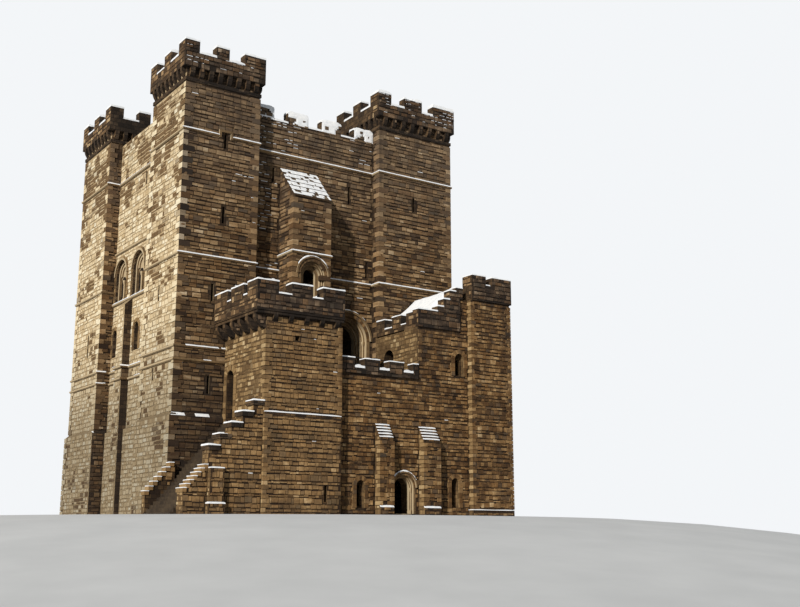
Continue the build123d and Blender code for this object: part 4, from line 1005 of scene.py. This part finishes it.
# Settled snow: node, thickness in metres, share of the ledge that is covered, the levels it lies between,
# and how far south it lies, because the sun has cleared the ledges past that.
# A layer as thin as slabThickness lies slab by slab, in rows with a joint between them.
snowFields = {
    "grid": 0.22,
    "overhang": 0.02,
    "steepest": 0.62,
    "patchScale": 0.9,
    "thinEdge": 0.6,
    "ripple": 0.3,
    "slabThickness": 0.051,
    "slabLength": 0.12,
    "slabRow": 0.16,
    "slabJoint": 0.035,
    "jointFilled": -0.12,
    "slabBare": 0.24,
    "onSlopes": 0.06,
    "where": [
        ("string_courses", 0.055, 1.0, 21.0, 22.0, -8.8),
        ("string_courses", 0.05, 0.86, 14.0, 20.0, -8.6),
        ("string_courses", 0.06, 0.85, 13.0, 13.9, -20.0),
        ("string_courses", 0.045, 0.68, 8.9, 10.0, -8.8),
        ("string_courses", 0.03, 0.45, 0.0, 8.9, -8.8),
        ("turret_parapets", 0.2, 1.0, 25.9, 30.0, -20.0),
        ("wall_parapets", 0.2, 1.0, 23.0, 30.0, -8.0),
        ("stair_tower_parapet", 0.12, 0.97, 11.0, 13.0, -20.0),
        ("middle_parapet", 0.2, 1.0, 8.0, 8.4, -20.0),
        ("middle_parapet", 0.09, 1.0, 8.5, 9.0, -20.0),
        ("upper_tower_parapets", 0.11, 0.95, 11.0, 15.0, -20.0),
        ("upper_tower_gable", 0.12, 1.0, 11.5, 14.0, -20.0),
        ("upper_tower_roof", 0.14, 1.0, 11.2, 14.0, -20.0),
        ("projection_roof", 0.051, 0.86, 18.0, 21.0, -20.0),
        ("chapel_buttresses", 0.06, 1.0, 0.5, 6.0, -20.0),
        ("stair_copings", 0.11, 1.0, 0.0, 8.0, -20.0),
        ("stair_parapets", 0.08, 1.0, 0.5, 2.6, -20.0),
        ("stair_tower", 0.07, 0.85, 5.0, 5.6, -20.0),
        ("upper_tower", 0.05, 0.7, 0.3, 0.8, -20.0),
        ("turrets", 0.025, 0.45, 5.3, 5.7, -8.8),
    ],
}
groups = {
    "turret_parapets": [n for n in nodes if n.endswith("turret_parapet")],
    "turrets": [n for n in nodes if n.endswith("_turret")],
}


def ledgePlanes(mesh, low, high):
    # the mesh's upward faces between two levels, sorted by the plane that they lie in
    place = meshCorners(mesh)
    planes = {}
    mesh.calc_loop_triangles()
    for triangle in mesh.loop_triangles:
        corners = place[list(triangle.vertices)]
        normal = np.cross(corners[1] - corners[0], corners[2] - corners[0])
        size = np.linalg.norm(normal)
        if size < 1e-9:
            continue
        normal /= size
        tooSteep = normal[2] < snowFields["steepest"]
        if tooSteep or corners[:, 2].min() < low - 0.01 or corners[:, 2].max() > high:
            continue
        key = tuple(np.round(normal, 2)) + (round(float(normal @ corners[0]), 2),)
        planes.setdefault(key, []).append(corners)
    return list(planes.values())


def cutSteps(values, grid):
    # the given edges, with each gap between them cut into steps, a narrow one into two at least
    edges = np.unique(np.round(values, 3))
    cuts = []
    for begin, end in zip(edges[:-1], edges[1:]):
        if end - begin < 0.012:
            continue
        count = max(2 if end - begin < 0.5 else 1, math.ceil((end - begin) / grid))
        cuts += list(np.linspace(begin, end, count + 1)[:-1])
    return np.array(cuts + [edges[-1]])


def snowOn(triangles, thickness, share, corners, faces,
           grid=snowFields["grid"], overhang=snowFields["overhang"], above=None):
    # a closed layer of snow on one flat or sloping ledge
    triangles = np.array(triangles)
    slabs = thickness == snowFields["slabThickness"]
    xs = cutSteps(triangles[:, :, 0], snowFields["slabLength"] if slabs else grid)
    ys = cutSteps(triangles[:, :, 1], grid)
    if slabs:
        edges = np.linspace(ys[0], ys[-1], round((ys[-1] - ys[0]) / snowFields["slabRow"]) + 1)
        ys = np.unique(np.concatenate([edges, edges[1:-1] - snowFields["slabJoint"]]))
    if len(xs) < 2 or len(ys) < 2:
        return
    normal = np.cross(triangles[0][1] - triangles[0][0], triangles[0][2] - triangles[0][0])
    normal /= np.linalg.norm(normal)
    level = float(normal @ triangles[0][0])
    midX, midY = (xs[:-1] + xs[1:]) / 2, (ys[:-1] + ys[1:]) / 2
    spotX, spotY = np.meshgrid(midX, midY, indexing="ij")
    covered = np.zeros(spotX.shape, bool)
    for a, b, c in triangles[:, :, :2]:
        turn = (b[0] - a[0]) * (c[1] - a[1]) - (b[1] - a[1]) * (c[0] - a[0])
        if abs(turn) < 1e-9:
            continue
        u = ((spotX - a[0]) * (c[1] - a[1]) - (spotY - a[1]) * (c[0] - a[0])) / turn
        v = ((b[0] - a[0]) * (spotY - a[1]) - (b[1] - a[1]) * (spotX - a[0])) / turn
        covered |= (u >= -1e-6) & (v >= -1e-6) & (u + v <= 1 + 1e-6)
    if above is not None:
        covered &= spotY > above

    def height(x, y):
        return (level - normal[0] * x - normal[1] * y) / normal[2]

    # bare patches, then the joints and single slabs that show through a thin layer
    patches = snowFields["patchScale"]
    for i, j in np.argwhere(covered):
        spot = Vector((midX[i] * patches, midY[j] * patches, height(midX[i], midY[j]) * patches))
        if randomField.noise(spot) * 0.9 + 0.5 > share + 0.08:
            covered[i, j] = False
        atJoint = ys[j + 1] - ys[j] < 0.05
        if slabs and atJoint and randomField.noise(spot * 2.6) > snowFields["jointFilled"]:
            covered[i, j] = False
        if slabs and randomField.noise(Vector((spot[0] * 3.1, spot[1] * 7.0, 2.2))) > snowFields["slabBare"]:
            covered[i, j] = False
    # cells that meet at a corner only would leave a pinched edge
    for i in range(1, covered.shape[0]):
        for j in range(1, covered.shape[1]):
            if covered[i, j] == covered[i - 1, j - 1] and covered[i - 1, j] == covered[i, j - 1] \
                    and covered[i, j] != covered[i - 1, j]:
                covered[i, j] = covered[i - 1, j] = covered[i - 1, j - 1] = covered[i, j - 1] = False
    numbers = {}

    def corner(i, j, top):
        if (i, j, top) not in numbers:
            near = [(a, b) for a in (i - 1, i) for b in (j - 1, j)
                    if 0 <= a < covered.shape[0] and 0 <= b < covered.shape[1] and covered[a, b]]
            x, y = xs[i], ys[j]
            depth = 0.0
            if top:
                ripple = randomField.noise(Vector((x * 2.3, y * 2.3, level)))
                edge = 1.0 if len(near) == 4 else snowFields["thinEdge"]
                depth = thickness * (edge + snowFields["ripple"] * ripple)
            if len(near) < 4:
                outX = x - sum(midX[a] for a, b in near) / len(near)
                outY = y - sum(midY[b] for a, b in near) / len(near)
                far = math.hypot(outX, outY) or 1.0
                x += outX / far * overhang * (0.3 if top else 1.0)
                y += outY / far * overhang * (0.3 if top else 1.0)
            numbers[(i, j, top)] = len(corners)
            corners.append((x, y, height(xs[i], ys[j]) + depth - 0.004 * (not top)))
        return numbers[(i, j, top)]

    for i, j in np.argwhere(covered):
        loop = [(i, j), (i + 1, j), (i + 1, j + 1), (i, j + 1)]
        faces.append([corner(a, b, True) for a, b in loop])
        faces.append([corner(a, b, False) for a, b in reversed(loop)])
        for (a, b), (c, d), (ni, nj) in ((loop[0], loop[1], (i, j - 1)), (loop[1], loop[2], (i + 1, j)),
                                         (loop[2], loop[3], (i, j + 1)), (loop[3], loop[0], (i - 1, j))):
            inside = 0 <= ni < covered.shape[0] and 0 <= nj < covered.shape[1] and covered[ni, nj]
            if not inside:
                faces.append([corner(a, b, False), corner(c, d, False), corner(c, d, True), corner(a, b, True)])


def snowPiece(name, corners, faces):
    mesh = meshOf(name, [tuple(float(v) for v in c) for c in corners], faces)
    mesh.update()
    addPiece(name, mesh, snowFinish)


snowCorners, snowFaces = [], []
for label, thickness, share, low, high, southEnd in snowFields["where"]:
    for name in groups.get(label, [label]):
        for plane in ledgePlanes(nodes[name].data, low, high):
            plane = [triangle for triangle in plane if triangle[:, 0].max() > southEnd]
            if plane:
                snowOn(plane, thickness, share, snowCorners, snowFaces)
for plane in ledgePlanes(slopeMesh, 0.0, 4.0):
    snowOn(plane, snowFields["onSlopes"], 1.0, snowCorners, snowFaces)
snowPiece("ledgeSnow", snowCorners, snowFaces)

# snow blown against the outer faces of the merlons on the entrance side
merlonSnow = {
    "thickness": 0.045,
    "share": 0.62,
    "grid": 0.11,
    "foot": 23.9,
    "face": 7.7,
}


def blownSnow():
    # the wall head is turned so that its front faces look up, covered, and turned back
    turned = nodes["wall_parapets"].data.copy()
    turned.transform(Matrix.Rotation(math.radians(-90), 4, "X"))
    corners, faces = [], []
    for plane in ledgePlanes(turned, merlonSnow["face"] - 0.05, merlonSnow["face"] + 0.05):
        snowOn(plane, merlonSnow["thickness"], merlonSnow["share"], corners, faces,
               grid=merlonSnow["grid"], overhang=0.0, above=merlonSnow["foot"])
    return [(x, -up, y) for x, y, up in corners], faces


snowPiece("merlonSnow", *blownSnow())

# flecks of snow caught on the beds of single stones: most lie in the recess beside the southeast turret,
# under the wall head and on the turrets' parapets, where the pull is strongest
snowFlecks = {
    "enough": 0.46,
    "fieldPull": 0.4, "luckPull": 0.5, "placePull": 0.5,
    "pullBeside": 0.2, "pullAtWallHead": 0.55, "pullAtTurretHead": 0.75,
    "height": 0.045,
    "deepest": 0.2,
    "recess": -3.9, "recessWidth": 1.5, "recessFrom": 16.5, "recessTo": 23.5,
    "wallHead": 22.0, "wallEnds": (-4.7, 3.8),
    "turretHead": 25.4,
    "pieces": ("keepStonesEast", "forebuildingStonesEast", "parapetStonesEast"),
}


def stoneFlecks(mesh):
    # a small wedge on the top edge of some stones; every stone is eight corners of the mesh
    corners, faces = [], []
    for number, stone in enumerate(meshCorners(mesh).reshape(-1, 8, 3)):
        low, high = stone.min(axis=0), stone.max(axis=0)
        middle = (low + high) / 2
        field = randomField.noise(Vector((middle[0] * 0.5, middle[2] * 0.5, 3.7)))
        luck = randomField.noise(Vector((number * 0.731, number * 0.317, 1.3)))
        inRecess = snowFlecks["recessFrom"] < middle[2] < snowFlecks["recessTo"]
        near = math.exp(-((middle[0] - snowFlecks["recess"]) / snowFlecks["recessWidth"]) ** 2)
        near *= 1.0 if inRecess else snowFlecks["pullBeside"]
        onWall = snowFlecks["wallEnds"][0] < middle[0] < snowFlecks["wallEnds"][1]
        if onWall and middle[2] > snowFlecks["wallHead"]:
            near = max(near, snowFlecks["pullAtWallHead"])
        if middle[2] > snowFlecks["turretHead"]:
            near = snowFlecks["pullAtTurretHead"]
        pull = (field * snowFlecks["fieldPull"] + luck * snowFlecks["luckPull"]
                + near * snowFlecks["placePull"])
        if pull < snowFlecks["enough"] or high[1] - low[1] > snowFlecks["deepest"]:
            continue
        half = (high[0] - low[0]) * (0.3 + 0.2 * abs(luck))
        rise = snowFlecks["height"] * (0.5 + abs(field))
        top, front = high[2] + 0.002, low[1]
        x0, x1, y0, y1 = middle[0] - half, middle[0] + half, front - 0.002, high[1] - 0.012
        faces += boxFaces(len(corners))
        corners += [(x0, y0, top), (x1, y0, top), (x1, y1, top), (x0, y1, top),
                    (x0 + 0.02, y0 + 0.004, top + rise * 0.7), (x1 - 0.02, y0 + 0.004, top + rise * 0.7),
                    (x1 - 0.01, y1, top + rise), (x0 + 0.01, y1, top + rise)]
    return corners, faces


for pieceName in snowFlecks["pieces"]:
    snowPiece(pieceName.replace("Stones", "SnowFlecks"), *stoneFlecks(facedMeshes[pieceName]))
print("snow laid")

# a thin bow of snow on the backs of the round hoods: centre along the front, springing, radius, face
snowBows = {
    "width": 0.055,
    "bows": [(2.58, 1.72, 0.9, -13.05), (-1.45, 14.05, 1.12, -9.5), (2.05, 10.85, 1.79, -7.76)],
    "seed": 4,
}


def bowTree():
    # a soft roll along an arc, thick in some places and thin in others
    given = openTree("snowBow", Float=["radius", "width", "seed"])
    arc = make("GeometryNodeCurveArc", {
        "Resolution": 26, "Radius": given.radius, "Start Angle": math.radians(28),
        "Sweep Angle": math.radians(124)}, mode="RADIUS")
    ripple = put("ShaderNodeTexNoise", {
        "Vector": here(), "W": given.seed, "Scale": 2.4}, noise_dimensions="4D")
    thickness = times(given.width, span(ripple.outputs["Fac"], 0.35, 0.6, 0.35, 1.1))
    sized = make("GeometryNodeSetCurveRadius", {"Curve": arc, "Radius": thickness})
    profile = make("GeometryNodeCurvePrimitiveCircle", {"Resolution": 6, "Radius": 1.0}, mode="RADIUS")
    roll = put("GeometryNodeCurveToMesh", {"Curve": sized, "Profile Curve": profile, "Fill Caps": True})
    if "Scale" in roll.inputs:
        feed(roll.inputs["Scale"], thickness)
    return closeTree(dress(roll.outputs[0], given.material))


bowsTree = bowTree()
bows = [grow(bowsTree, {"radius": radius, "width": snowBows["width"], "seed": float(snowBows["seed"] + number),
                        "material": snowFinish}, place=wallPlane("east", -face, centre, spring))
        for number, (centre, spring, radius, face) in enumerate(snowBows["bows"])]
joinMeshes("hoodSnow", bows, snowFinish)

# camera, studio light and pale surroundings
studio = {
    "cameraPlace": (-32.3, -62.93, -1.1),
    "turn": -34.74,
    "tilt": 12.31,
    "lens": 48.6,
    "sunStrength": 4.0,
    "sunFrom": (-0.775, -0.484, 0.407),
    "sunSpread": 1.5,
    "skyStrength": 0.2,
    "backdrop": (0.9, 0.92, 0.94, 1),
}


def groundMesh():
    # level at the foot of the walls, sinking gently away so that the low camera sees the building whole
    rings, steps, middleY, sunk = [0, 14, 18, 22, 26, 30, 36, 44, 56, 80, 140, 320], 96, -2.5, -0.004
    points, faces = [(0, middleY, sunk)], []
    for radius in rings[1:]:
        share = min(max((radius - 19) / 40, 0), 1)
        drop = -4.2 * share * share * (3 - 2 * share) + sunk
        for step in range(steps):
            angle = 2 * math.pi * step / steps
            points.append((radius * math.cos(angle), radius * math.sin(angle) + middleY, drop))
    for step in range(steps):
        faces.append((0, 1 + step, 1 + (step + 1) % steps))
    for ring in range(len(rings) - 2):
        inner = 1 + ring * steps
        for step in range(steps):
            after = (step + 1) % steps
            faces.append((inner + step, inner + steps + step, inner + steps + after, inner + after))
    mesh = meshOf("studioFloor", points, faces)
    for polygon in mesh.polygons:
        polygon.use_smooth = True
    return mesh


floor = stand("studioFloor", groundMesh())
floorPaint, floorShader = newMaterial("studioFloor")
floorGrain = noise(placeNodes()[0], 0.4, 3)
fill(floorShader, {"Base Color": ramp(floorGrain, [(0.3, (0.6, 0.61, 0.62, 1)), (0.7, (0.66, 0.67, 0.68, 1))]),
                   "Roughness": 0.9})
floor.data.materials.append(floorPaint)
floor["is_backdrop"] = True

world = bpy.context.scene.world = bpy.data.worlds.new("studio")
world.use_nodes = True
bench["tree"] = world.node_tree
skyLight = fill(world.node_tree.nodes["Background"], {0: (0.8, 0.9, 1.0, 1), 1: studio["skyStrength"]})
backdrop = make("ShaderNodeBackground", {0: studio["backdrop"], 1: 1.0})
rays = put("ShaderNodeLightPath").outputs
mirrored = calc("MAXIMUM", rays["Is Glossy Ray"], rays["Is Transmission Ray"])
seen = calc("MAXIMUM", rays["Is Camera Ray"], mirrored)
either = make("ShaderNodeMixShader", {0: seen, 1: skyLight.outputs[0], 2: backdrop})
feed(world.node_tree.nodes["World Output"].inputs[0], either)

sun = stand("studioKey", bpy.data.lights.new("studioKey", "SUN"))
sun.data.energy = studio["sunStrength"]
sun.data.angle = math.radians(studio["sunSpread"])
sun.data.color = (1.0, 0.96, 0.89)
sun.rotation_euler = Vector(studio["sunFrom"]).to_track_quat("Z", "Y").to_euler()

camera = stand("camera", bpy.data.cameras.new("camera"))
camera.location = studio["cameraPlace"]
camera.rotation_euler = (math.radians(90 + studio["tilt"]), 0, math.radians(studio["turn"]))
camera.data.lens = studio["lens"]
camera.data.sensor_width = 36
camera.data.clip_end = 600
bpy.context.scene.camera = camera
bpy.context.scene.view_settings.view_transform = "Standard"

low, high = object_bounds()
print("stage set")
